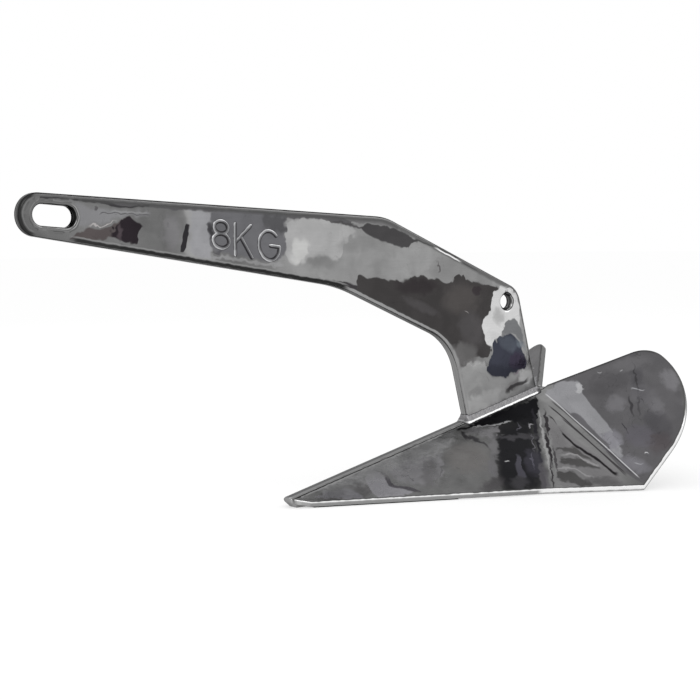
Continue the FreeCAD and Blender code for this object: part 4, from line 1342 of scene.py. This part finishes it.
@dataclass
class Shank:
    """Flat bar, bent twice, with the shackle slot at the ring end and a bored eye at the knee."""

    spine: Spine
    thickness: float = 10.0
    edge_radius: float = 2.5
    ring: Pair = (-244.7, 255.7)
    ring_radius: float = 17.3
    slot_start: Pair = (-241.2, 255.6)
    slot_half_width: float = 8.5
    slot_pitch: float = 20.6
    slot_dip: float = 4.2
    slot_edge_radius: float = 2.5
    top_bend: Triple = (107.4, 255.1, 63.0)
    knee: Triple = (275.3, 185.4, 21.0)
    under_bend: Triple = (54.7, 192.6, 157.0)
    throat: Triple = (188.2, 136.9, 54.0)
    leg_rake: float = 75.5
    foot_sink: float = 3.0
    foot_radius: float = 2.8
    eye: Triple = (259.6, 173.8, 7.0)
    eye_chamfer: float = 2.1
    step: float = 1.6

    def on_spine(self, start: Triple) -> np.ndarray:
        """Where a line down the leg from a bend meets the top of the spine.

        Args:
            start: The bend.

        Returns:
            The point on the spine.
        """
        corner, way = np.array(start[:2]), bearing(-self.leg_rake)
        run = (self.spine.height(corner[0]) - corner[1]) / (way[1] - self.spine.rise * way[0])
        return corner + way * run

    def tangent(self, outside: np.ndarray, upper: bool) -> np.ndarray:
        """Where the tangent from a bend touches the ring end's round.

        Args:
            outside: The bend.
            upper: Whether it touches above or below.

        Returns:
            The point of the round.
        """
        centre = np.array(self.ring)
        gap = outside - centre
        swing = math.acos(self.ring_radius / float(np.linalg.norm(gap)))
        angle = math.atan2(gap[1], gap[0]) + (swing if upper else -swing)
        return centre + bearing(math.degrees(angle)) * self.ring_radius

    def outline(self) -> np.ndarray:
        """The bar's side outline, anticlockwise.

        Returns:
            Points of the outline.
        """
        top, knee = np.array(self.top_bend[:2]), np.array(self.knee[:2])
        throat, under = np.array(self.throat[:2]), np.array(self.under_bend[:2])
        upper, lower = self.tangent(top, True), self.tangent(under, False)
        sink = bearing(-self.leg_rake) * self.foot_sink
        toe, heel = self.on_spine(self.throat) + sink, self.on_spine(self.knee) + sink
        run = rounded_run([
            (lower, 0.0), (under, self.under_bend[2]), (throat, self.throat[2]), (toe, self.foot_radius),
            (heel, self.foot_radius), (knee, self.knee[2]), (top, self.top_bend[2]), (upper, 0.0)], self.step)
        centre = np.array(self.ring)
        first, last = upper - centre, lower - centre
        sweep = (math.atan2(last[1], last[0]) - math.atan2(first[1], first[0])) % (2 * math.pi)
        return np.concatenate([run, along_arc(centre, upper, sweep, self.step)[1:-1]])

    def slot(self) -> np.ndarray:
        """The shackle slot's outline, clockwise.

        Returns:
            Points of the outline.
        """
        centre, way = np.array(self.slot_start), bearing(-self.slot_dip)
        side, far = bearing(90.0 - self.slot_dip) * self.slot_half_width, way * self.slot_pitch
        front = along_arc(centre, centre + side, math.pi, self.step)
        rear = along_arc(centre + far, centre + far - side, math.pi, self.step)
        return fill_straights(np.concatenate([front, rear, front[:1]]), self.step)[:-1][::-1]

    def place(self, flat: np.ndarray, depth: np.ndarray) -> np.ndarray:
        """Stand the flat outline up on the anchor's middle plane."""
        return np.stack([flat[:, 0], depth - self.thickness / 2, flat[:, 1]], axis=1)

    def build(self) -> bpy.types.Object:
        """Build the bar.

        Returns:
            The bar, built in place of the shank solid, which is hidden.
        """
        eye = circle(np.array(self.eye[:2]), self.eye[2], self.step / 2)[::-1]
        loops = [Loop(self.outline(), self.edge_radius), Loop(self.slot(), self.slot_edge_radius),
                 Loop(eye, self.eye_chamfer, straight=True)]
        bar = Blank("shank_bar", loops, self.thickness, self.place, edge_steps=7).build()
        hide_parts("shank")
        return bar

    def dress(self, bar: bpy.types.Object) -> None:
        """Give the bar polished steel with painted reflections and shade in its colour."""
        bar.data.materials.append(PolishedSteel("shank_steel", SHANK_REFLECTION_TONES, SHANK_PAINTED_REFLECTIONS, bands=SHANK_BANDS,
                                               brushed=BRUSHED_FOOT, edge_tint=0.35).make())


@dataclass
class WeightMark:
    """The anchor's weight, cast in low rounded figures on the side of the shank."""

    half_width: float = 1.8
    height: float = 0.9
    face: float = -5.0
    spacing: float = 0.42
    fullness: float = 2.6
    skirt_drop: float = 1.2
    skirt_reach: float = 1.6
    tone: Tone = (106, 106, 108)
    pale: Tone = (142, 142, 144)
    shaded_flank: Tone = (44, 43, 45)
    highlit_flank: Tone = (192, 192, 194)
    edge_shade: Tone = (50, 49, 51)
    inner_flank: Pair = (0.16, 0.5)
    outer_flank: Pair = (-0.5, -0.24)
    outer_edge_shade: Pair = (-0.96, -0.78)

    def figures(self) -> dict[str, tuple[Box, list[np.ndarray]]]:
        """The figures by name.

        Returns:
            The corners of each figure's square on the shank, from the upper left one clockwise, and
            its centre lines in a square of one by one.
        """
        turn = np.linspace(0, 2 * math.pi, 40)
        upper = np.stack([0.5 + 0.36 * np.cos(turn), 0.745 + 0.215 * np.sin(turn)], axis=1)
        lower = np.stack([0.5 + 0.42 * np.cos(turn), 0.28 + 0.245 * np.sin(turn)], axis=1)
        bowl = np.linspace(math.radians(48), math.radians(360), 40)
        hook = np.stack([0.5 + 0.42 * np.cos(bowl), 0.5 + 0.45 * np.sin(bowl)], axis=1)
        stem, arm, foot, bar = np.array([
            [[0.14, 0.97], [0.14, 0.03]], [[0.84, 0.97], [0.16, 0.42]],
            [[0.88, 0.03], [0.38, 0.6]], [[0.92, 0.5], [0.56, 0.5]]])
        return {
            "figure_8": (((-84.0, 252.7), (-65.0, 251.3), (-65.0, 226.6), (-84.0, 228.6)), [upper, lower]),
            "letter_k": (((-63.2, 249.8), (-40.4, 247.4), (-40.4, 218.7), (-63.2, 222.4)), [stem, arm, foot]),
            "letter_g": (((-37.3, 245.4), (-11.8, 242.4), (-11.8, 214.4), (-37.3, 218.0)), [hook, bar]),
        }

    def build(self) -> list[bpy.types.Object]:
        """Build the figures, one object for each."""
        return [self._raised("weight_" + name, [self._laid(line, box) for line in lines])
                for name, (box, lines) in self.figures().items()]

    def _laid(self, line: np.ndarray, box: Box) -> np.ndarray:
        """A figure's line moved from its square onto the shank.

        Args:
            line: The line in a square of one by one.
            box: The corners of the figure's square on the shank.

        Returns:
            The line on the shank.
        """
        upper_left, upper_right, lower_right, lower_left = (np.array(corner) for corner in box)
        across, up = line[:, :1], line[:, 1:]
        top = upper_left + (upper_right - upper_left) * across
        low = lower_left + (lower_right - lower_left) * across
        return low + (top - low) * up

    def _raised(self, name: str, lines: list[np.ndarray]) -> bpy.types.Object:
        """A rounded ridge over centre lines.

        Args:
            name: Name of the object.
            lines: The centre lines on the shank's side.

        Returns:
            The object.
        """
        margin = self.half_width + 2 * self.spacing
        low = np.min([line.min(axis=0) for line in lines], axis=0) - margin
        high = np.max([line.max(axis=0) for line in lines], axis=0) + margin
        xs, zs = np.arange(low[0], high[0], self.spacing), np.arange(low[1], high[1], self.spacing)
        spots = np.stack(np.meshgrid(xs, zs, indexing="ij"), axis=-1).reshape(-1, 2)
        gap = np.full(len(spots), np.inf)
        hand = np.ones(len(spots))
        for line in lines:
            for start, end in zip(line, line[1:]):
                way, from_start = end - start, spots - start
                share = np.clip((from_start @ way) / max(float(way @ way), TINY), 0.0, 1.0)
                off = np.linalg.norm(from_start - share[:, None] * way, axis=1)
                left = np.sign(way[0] * from_start[:, 1] - way[1] * from_start[:, 0])
                hand = np.where(off < gap, left, hand)
                gap = np.minimum(gap, off)
        share = gap / self.half_width
        rise = np.where(share < 1, self.height * np.sqrt(np.clip(1 - share ** self.fullness, 0, 1)),
                        (1 - share) * self.skirt_drop)
        places = np.stack([spots[:, 0], self.face - rise, spots[:, 1]], axis=1)
        at = np.arange(len(spots)).reshape(len(xs), len(zs))
        faces = np.stack([at[:-1, :-1], at[1:, :-1], at[1:, 1:], at[:-1, 1:]], axis=-1).reshape(-1, 4)
        faces = faces[(gap[faces] < self.half_width + self.skirt_reach * self.spacing).all(axis=1)]
        used, faces = np.unique(faces, return_inverse=True)
        piece = write_mesh(name, places[used], faces.reshape(-1, 4).tolist(), {"flank": (share * hand)[used]})
        return piece

    def dress(self, pieces: list[bpy.types.Object]) -> None:
        """Give the figures the shank's own tone on top, a painted highlight outside and painted shade inside.

        Args:
            pieces: The figures.
        """
        graph = Graph.start("weight_mark_steel")
        spot = Place.read(graph).spot
        grain, patchy = graph.noise(spot, Clouds(5.0, 3.0, 0.6)), graph.noise(spot, Clouds(9.0, 1.0))
        flank = graph.math("MULTIPLY_ADD", grain, 0.5, graph.math("SUBTRACT", graph.attribute("flank"), 0.25))
        colour = graph.mix(graph.ramp(patchy, 0.35, 0.65), self.tone, self.pale)
        # painted shade on the inner flank
        colour = graph.mix(graph.ramp(flank, *self.inner_flank, 0.0, 0.95), colour, self.shaded_flank)
        # painted highlight on the outer flank
        outer = graph.math("MULTIPLY", graph.ramp(flank, *self.outer_flank, 1.0, 0.0),
                           graph.ramp(patchy, 0.4, 0.6, 0.6, 1.0))
        colour = graph.mix(outer, colour, self.highlit_flank)
        # painted shade line round the outside of each figure
        colour = graph.mix(graph.ramp(flank, *self.outer_edge_shade, 0.95, 0.0), colour, self.edge_shade)
        material = graph.finish(graph.metal(colour, graph.ramp(grain, *USUAL, 0.16, 0.26)))
        for piece in pieces:
            piece.data.materials.append(material)


# Fluke

class Side(Enum):
    """Which side of the anchor a plate is on, as the sign of its Y."""

    LEFT = 1
    RIGHT = -1


@dataclass
class FlukePlate:
    """Pressed plate of one side: share, skirt and wing, with two creases."""

    side: Side
    spine: Spine
    thickness: float = 6.0
    edge_radius: float = 1.5
    nose_half_width: float = 8.8
    nose_bevel_run: float = 11.1
    share_half_angle: float = 21.72
    share_run: float = 219.1
    skirt_half_angle: float = 29.0
    skirt_run: float = 83.2
    wing_fold: float = 25.6
    wing_reach: float = 109.2
    wing_top_rake: float = 18.0
    wing_tail_rake: float = 20.0
    wing_top_radius: float = 27.5
    wing_tail_radius: float = 97.0
    fold_radius: float = 20.0
    soft_fold_reach: float = 7.0
    bar_bite: float = 5.2
    corner_radius: float = 2.0
    front_corner_radius: float = 8.0
    wing_clearance: float = 6.0
    step: float = 1.8
    dents: tuple[Triple, ...] = ((34.0, 0.16, 3.0), (9.0, 0.07, 8.0))

    def __post_init__(self) -> None:
        """Work out the panels' planes from the sizes."""
        self.share_way = share_way = np.array([*bearing(-self.share_half_angle), 0.0])
        skirt_way = np.array([*bearing(-self.skirt_half_angle), 0.0])
        tilt = bearing(self.spine.slope)
        self.nose_foot = np.array([0.0, -self.nose_half_width, 0.0])
        self.front_corner = self.nose_foot + share_way * (self.share_run / share_way[0])
        self.rear_corner = self.front_corner + skirt_way * (self.skirt_run / skirt_way[0])
        self.share_normal = unit(np.cross(share_way, np.array([tilt[0], 0.0, tilt[1]])))
        self.top = np.array([self.spine.reach, 0.0, self._share_height(self.spine.reach, 0.0)])
        self.skirt_normal = unit(np.cross(self.rear_corner - self.front_corner, self.top - self.front_corner))
        self.fold = unit(self.rear_corner - self.top)
        self.fold_length = float(np.linalg.norm(self.rear_corner - self.top))
        self.across = np.cross(self.skirt_normal, self.fold)
        turn = math.radians(self.wing_fold)
        self.wing_normal = self.skirt_normal * math.cos(turn) - self.across * math.sin(turn)
        self.wing_way = np.cross(self.wing_normal, self.fold)
        corner = self.front_corner - self.top
        flat = np.array([corner @ self.fold, corner @ self.across])
        self.soft_way = unit(flat)
        self.soft_across = np.array([-self.soft_way[1], self.soft_way[0]])
        if self.soft_across[0] < 0:
            self.soft_across = -self.soft_across
        self.soft_fold = unit(corner)
        lift = np.cross(self.share_normal, self.soft_fold)
        toward = self.soft_across[0] * self.fold + self.soft_across[1] * self.across
        self.share_across = lift if lift @ toward > 0 else -lift

    def _share_height(self, x: float, y: float) -> float:
        """Height of the share panel's underside at a place in plan."""
        normal, foot = self.share_normal, self.nose_foot
        return foot[2] - (normal[0] * (x - foot[0]) + normal[1] * (y - foot[1])) / normal[2]

    def underside(self, flat: np.ndarray) -> np.ndarray:
        """The underside of the pressed plate.

        Args:
            flat: Places on the flat blank, along and across the wing's fold.

        Returns:
            Where they are after pressing.
        """
        u, v = flat[:, 0], flat[:, 1]
        a, b = flat @ self.soft_way, flat @ self.soft_across
        line = self.top + np.outer(u, self.fold)
        skirt = line + np.outer(v, self.across)
        share = self.top + np.outer(a, self.soft_fold) + np.outer(b, self.share_across)
        rise = float(-self.share_across @ self.skirt_normal)
        near = np.clip(self.soft_fold_reach - np.abs(b), 0.0, None) ** 2 / (4 * self.soft_fold_reach)
        base = np.where((b < 0)[:, None], share, skirt) + np.outer(near * rise, self.skirt_normal)
        turn = math.radians(self.wing_fold)
        run = self.fold_radius * math.tan(turn / 2)
        swing = np.clip((v + run) / (2 * run), 0.0, 1.0) * turn
        bend = line + np.outer(-run + self.fold_radius * np.sin(swing), self.across)
        bend = bend + np.outer(self.fold_radius * (1 - np.cos(swing)), self.skirt_normal)
        wing = line + np.outer(v, self.wing_way)
        base = np.where((v > -run)[:, None] & (b >= 0)[:, None], bend, base)
        return np.where((v > run)[:, None], wing, base)

    def place(self, flat: np.ndarray, depth: np.ndarray) -> np.ndarray:
        """The pressed plate's places below its upper face.

        Args:
            flat: Places on the flat blank.
            depth: Distance below the upper face.

        Returns:
            Where they are after pressing, on the plate's own side.
        """
        nudge = 0.4
        ahead = self.underside(flat + [nudge, 0.0]) - self.underside(flat - [nudge, 0.0])
        over = self.underside(flat + [0.0, nudge]) - self.underside(flat - [0.0, nudge])
        normal = unit_rows(np.cross(ahead, over))
        spots = self.underside(flat) + normal * (self.thickness - depth + self.relief(flat, depth))[:, None]
        return spots * [1.0, -float(self.side.value), 1.0]

    def relief(self, flat: np.ndarray, depth: np.ndarray) -> np.ndarray:
        """Slight hollows of the upper face, broad ones and small ones.

        Args:
            flat: Places on the flat blank.
            depth: Distance below the upper face.

        Returns:
            Height of the face above its true place.
        """
        heights = np.zeros(len(flat))
        for number in np.flatnonzero(depth <= 0.0):
            for size, height, seed in self.dents:
                heights[number] += height * noise.noise(Vector((*(flat[number] / size), seed)))
        return heights

    def flat_of(self, spot: np.ndarray) -> np.ndarray:
        """A place of the share panel's underside as a place on the flat blank."""
        gap = spot - self.top
        return self.soft_way * (gap @ self.soft_fold) + self.soft_across * (gap @ self.share_across)

    def outline(self) -> np.ndarray:
        """The blank's outline, anticlockwise.

        Returns:
            Points of the outline.
        """
        bevel_foot = self.nose_foot + self.share_way * (self.nose_bevel_run / self.share_way[0])
        ridge = np.array([-self.spine.overhang, 0.0, self._share_height(-self.spine.overhang, 0.0)])
        front, back = self.flat_of(bevel_foot), self.flat_of(ridge)
        bite = -self.bar_bite - self.thickness * self.share_normal[1]
        start = self._where_y(back, front, bite)
        end = self._where_y(self.flat_of(self.top), self.flat_of(self.front_corner), bite)
        reach = self.wing_reach
        top_shift = reach * math.tan(math.radians(self.wing_top_rake))
        tail_shift = reach * math.tan(math.radians(self.wing_tail_rake))
        clear = -self.wing_clearance - self.thickness * self.wing_normal[1]
        ratio = top_shift / reach
        height = clear / (ratio * self.fold[1] + self.wing_way[1])
        small = self.corner_radius
        corners = [
            (start, small), (front, small), (self.flat_of(self.front_corner), self.front_corner_radius),
            (np.array([self.fold_length, 0.0]), small),
            (np.array([self.fold_length - tail_shift, reach]), self.wing_tail_radius),
            (np.array([top_shift, reach]), self.wing_top_radius),
            (np.array([ratio * height, height]), small), (end, small)]
        run = closed_run(corners, self.step)
        return run if signed_area(run) > 0 else run[::-1]

    def _where_y(self, first: np.ndarray, last: np.ndarray, level: float) -> np.ndarray:
        """Where a straight line on the blank reaches a Y.

        Args:
            first: One place on the blank.
            last: Another one.
            level: The Y of the underside.

        Returns:
            The place on the line.
        """
        ends = self.underside(np.array([first, last]))[:, 1]
        return first + (last - first) * (level - ends[0]) / (ends[1] - ends[0])

    def build(self) -> bpy.types.Object:
        """Build the plate.

        Returns:
            The plate, built in place of the fluke plate solid of its side, which is hidden.
        """
        label = self.side.name.lower()
        loops = [Loop(self.outline(), self.edge_radius)]
        plate = Blank("fluke_" + label, loops, self.thickness, self.place).build()
        if self.side is Side.RIGHT:
            plate.data.flip_normals()
        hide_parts("fluke_plate_" + label)
        return plate


@dataclass
class RidgeBar:
    """Narrow bar along the spine of the fluke."""

    spine: Spine
    width: float = 12.0
    depth: float = 14.0
    crest_radius: float = 1.8
    undercut: float = 2.0
    corner_radius: float = 2.0
    end_radius: float = 2.2
    step: float = 2.0

    def outline(self) -> np.ndarray:
        """Side outline of the bar, anticlockwise.

        Returns:
            Points of the outline.
        """
        way = bearing(self.spine.slope)
        tail = np.array([self.spine.reach, self.spine.height(self.spine.reach)])
        low_tail = tail + np.array([way[1], -way[0]]) * self.depth
        low_start = low_tail - way * (low_tail[1] / way[1])
        nose = np.array([-self.spine.overhang, self.spine.height(-self.spine.overhang)])
        foot = np.array([self.undercut, 0.0])
        return closed_run([(foot, self.corner_radius), (low_start, self.corner_radius),
                           (low_tail, self.corner_radius), (tail, self.end_radius), (nose, self.end_radius)],
                          self.step)

    def place(self, flat: np.ndarray, depth: np.ndarray) -> np.ndarray:
        """Stand the outline up on the anchor's middle plane."""
        return np.stack([flat[:, 0], depth - self.width / 2, flat[:, 1]], axis=1)

    def build(self) -> bpy.types.Object:
        """Build the bar.

        Returns:
            The bar, built in place of the ridge bar solid, which is hidden.
        """
        bar = Blank("spine_bar", [Loop(self.outline(), self.crest_radius)], self.width, self.place).build()
        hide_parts("ridge_bar")
        return bar


@dataclass
class ShankWeld:
    """Fillet of weld all round the foot of the shank, with a wide concave throat in front."""

    shank: Shank
    plate: FlukePlate
    leg: float = 4.6
    front_leg: float = 8.5
    fullness: float = 0.55
    front_fullness: float = 0.1
    corner_radius: float = 1.5
    root: float = 0.5
    swell: float = 0.35
    swell_size: float = 7.0
    grain: float = 0.12
    grain_size: float = 2.4
    bar_half_width: float = 6.0
    front_reach: float = 2.0
    front_fade: float = 4.0
    side_margins: Pair = (-0.4, 2.0)
    side_fade: float = 1.2
    spacing: float = 0.9
    arc_steps: int = 10

    def ground(self, x: np.ndarray, y: np.ndarray) -> np.ndarray:
        """Height of what the weld runs on, the bar in the middle and the plates beside it.

        Args:
            x: Distances behind the point.
            y: Distances from the middle plane.

        Returns:
            The heights.
        """
        plate = self.plate
        normal, foot = plate.share_normal, plate.nose_foot + plate.share_normal * plate.thickness
        beside = foot[2] - (normal[0] * (x - foot[0]) + normal[1] * (-np.abs(y) - foot[1])) / normal[2]
        return np.where(np.abs(y) < self.bar_half_width, self.shank.spine.height(x), beside)

    def build(self) -> bpy.types.Object:
        """Build the bead.

        Returns:
            The bead, built in place of the shank weld solid, which is hidden.
        """
        slope, half = math.radians(self.shank.spine.slope), self.shank.thickness / 2
        toe, heel = self.shank.on_spine(self.shank.throat), self.shank.on_spine(self.shank.knee)
        length = float(np.linalg.norm(heel - toe))
        corners = [(np.zeros(2), 0.0),
                   *((np.array([x, y]), self.corner_radius)
                     for x, y in ((0.0, -half), (length, -half), (length, half), (0.0, half)))]
        foot = closed_run(corners, self.spacing)
        ring = Loop(foot, 0.0)
        grain, swell = (np.array([noise.noise(Vector((*(spot / size), seed))) for spot in foot])
                        for size, seed in ((self.grain_size, 1.0), (self.swell_size, 5.0)))
        ahead = np.clip((self.front_reach - foot[:, 0]) / self.front_fade, 0.0, 1.0)
        before, behind = self.side_margins
        clear = np.minimum(foot[:, 0] - before, length - behind - foot[:, 0])
        beside = np.clip(clear / self.side_fade, 0.0, 1.0)
        leg = self.leg + (self.front_leg - self.leg) * ahead + self.swell * swell
        bulge = self.fullness - (self.fullness - self.front_fullness) * ahead
        rows = []
        shares = np.linspace(0.0, 1.0, self.arc_steps + 1)
        for share in shares:
            angle = share * math.pi / 2
            out = leg * (share * bulge + (1 - math.cos(angle)) * (1 - bulge)) - self.root * (share == 0)
            up = leg * ((1 - share) * bulge + (1 - math.sin(angle)) * (1 - bulge)) - self.root * (share == 1)
            along, side = ring.inset(-out).T
            x = toe[0] + along * math.cos(slope) - up * math.sin(slope)
            flat_z = toe[1] + along * math.sin(slope) + up * math.cos(slope)
            sunk = self.ground(x, side) - self.shank.spine.height(x)
            rough = self.grain * grain * math.sin(share * math.pi)
            rows.append(np.stack([x, side, flat_z + sunk * share + rough], axis=1))
        at = np.arange(len(rows) * len(foot)).reshape(len(rows), -1)
        after = np.roll(at, -1, axis=1)
        faces = np.stack([at[:-1], after[:-1], after[1:], at[1:]], axis=-1).reshape(-1, 4).tolist()
        bead = write_mesh("foot_weld", np.concatenate(rows), faces,
                          {"across": np.repeat(shares, len(foot)), "beside": np.tile(beside, len(rows))})
        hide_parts("shank_weld")
        return bead


# Studio

@dataclass(frozen=True)
class StudioFloor:
    """Wide pale floor that keeps a light shadow."""

    half_size: float = 30.0
    tone: Tone = (252, 252, 252)
    shadow_share: float = 0.4

    def build(self) -> bpy.types.Object:
        """Lay the floor.

        Returns:
            The floor, which isn't part of the anchor.
        """
        reach = self.half_size
        mesh = bpy.data.meshes.new("floor")
        mesh.from_pydata([(-reach, -reach, 0), (reach, -reach, 0), (reach, reach, 0), (-reach, reach, 0)],
                         [], [(0, 1, 2, 3)])
        floor = bpy.data.objects.new("floor", mesh)
        bpy.context.scene.collection.objects.link(floor)
        return floor

    def dress(self, floor: bpy.types.Object) -> None:
        """Make the floor white in reflections, and to the camera but for a share of its shadows.

        Args:
            floor: The floor.
        """
        graph = Graph.start("floor_white")
        paint, glow = graph.node("BsdfDiffuse", linear(self.tone)), graph.node("Emission")
        path = graph.node("LightPath")
        seen = graph.math("MAXIMUM", path.outputs["Is Glossy Ray"], path.outputs["Is Transmission Ray"])
        direct = graph.math("MULTIPLY", path.outputs["Is Camera Ray"], 1.0 - self.shadow_share)
        share = graph.math("MAXIMUM", seen, direct)
        both = graph.node("MixShader", share, paint.outputs[0], glow.outputs[0])
        floor.data.materials.append(graph.finish(both))


@dataclass(frozen=True)
class Lamp:
    """Large soft lamp."""

    name: str
    place: Triple
    power: float
    size: float
    aim: Triple = (0.0, 0.0, 0.12)

    def build(self) -> None:
        """Hang the lamp, turned to the anchor."""
        light = bpy.data.lights.new(self.name, "AREA")
        light.energy, light.shape, light.size = self.power, "DISK", self.size
        lamp = bpy.data.objects.new(self.name, light)
        lamp.location = self.place
        lamp.rotation_euler = (Vector(self.aim) - Vector(self.place)).to_track_quat("-Z", "Y").to_euler()
        bpy.context.scene.collection.objects.link(lamp)


@dataclass(frozen=True)
class Studio:
    """Floor, white surround and lamps."""

    lamps: tuple[Lamp, ...] = (
        Lamp("key_lamp", (-1.6, -1.8, 2.2), 12.0, 1.8),
        Lamp("fill_lamp", (1.9, -1.5, 1.7), 6.0, 1.6),
        Lamp("rear_lamp", (0.4, 2.3, 1.9), 6.0, 1.6),
    )

    def build(self) -> None:
        """Build the studio."""
        floor = StudioFloor()
        floor.dress(floor.build())
        for lamp in self.lamps:
            lamp.build()
        world = bpy.data.worlds.new("white_surround")
        world.use_nodes = True
        world.node_tree.nodes["Background"].inputs["Color"].default_value = (1.0, 1.0, 1.0, 1.0)
        bpy.context.scene.world = world
        bpy.context.scene.view_settings.view_transform = "Standard"


@dataclass(frozen=True)
class Viewpoint:
    """The camera, low and three-quarter on."""

    place: Triple = (-0.93482, -1.16236, 0.23029)
    azimuth: float = 38.89
    elevation: float = 3.63
    roll: float = 0.53
    lens: float = 85.51
    sensor: float = 36.0
    clip: Pair = (0.05, 120.0)

    def build(self) -> None:
        """Set the camera up."""
        azimuth, elevation, roll = (math.radians(a) for a in (self.azimuth, self.elevation, self.roll))
        back = Vector((-math.sin(azimuth) * math.cos(elevation), -math.cos(azimuth) * math.cos(elevation),
                       math.sin(elevation)))
        right = Vector((math.cos(azimuth), -math.sin(azimuth), 0.0))
        up = back.cross(right)
        turned_right = right * math.cos(roll) - up * math.sin(roll)
        turned_up = right * math.sin(roll) + up * math.cos(roll)
        lens = bpy.data.cameras.new("camera")
        lens.lens, lens.sensor_width = self.lens, self.sensor
        lens.clip_start, lens.clip_end = self.clip
        camera = bpy.data.objects.new("camera", lens)
        axes = Matrix((turned_right, turned_up, back)).transposed()
        camera.matrix_world = Matrix.Translation(self.place) @ axes.to_4x4()
        bpy.context.scene.collection.objects.link(camera)
        bpy.context.scene.camera = camera


def finish_node(name: str, finish: DullSteel | PolishedSteel) -> None:
    """Give a solid of the frame its finish.

    Args:
        name: Name of the node.
        finish: The finish.
    """
    node = next(piece for piece in bpy.context.scene.objects if piece.name == name)
    material = finish.make()
    node.data.materials.clear()
    node.data.materials.append(material)
    LOG.info("%s keeps its solid, in %s", name, material.name)


def main() -> None:
    """Build and dress the anchor in its studio."""
    logging.basicConfig(level=logging.INFO, format="%(name)s: %(message)s")
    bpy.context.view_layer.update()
    Viewpoint().build()
    Studio().build()

    spine = Spine()
    shank = Shank(spine)
    shank.dress(shank.build())
    mark = WeightMark()
    mark.dress(mark.build())

    panels = PolishedSteel(
        "fluke_steel", PLATE_REFLECTION_TONES, PLATE_PAINTED_REFLECTIONS, upper_only=True, bands=PLATE_BANDS,
        wall_reflection_tone=(150, 150, 151), roughness=0.22, wave=0.4, veins=0.3,
        edge_tint=0.6, brushed=BRUSHED_PATCHES).make()
    plates = [FlukePlate(Side.LEFT, spine), FlukePlate(Side.RIGHT, spine)]
    for plate in plates:
        plate.build().data.materials.append(panels)

    RidgeBar(spine).build().data.materials.append(
        PolishedSteel("spine_steel", SPINE_REFLECTION_TONES, (), wall_reflection_tone=(92, 92, 93), bands=SPINE_BANDS,
                      edge_tint=0.6).make())
    weld = ShankWeld(shank, plates[0])
    weld.build().data.materials.append(WeldMetal("foot_weld_metal").make())

    finish_node("ballast_cover", DullSteel("cover_steel", (150, 150, 152)))
    finish_node("tip_ballast", DullSteel("ballast_steel", (112, 111, 112), 0.5))


if __name__ == "__main__":
    main()
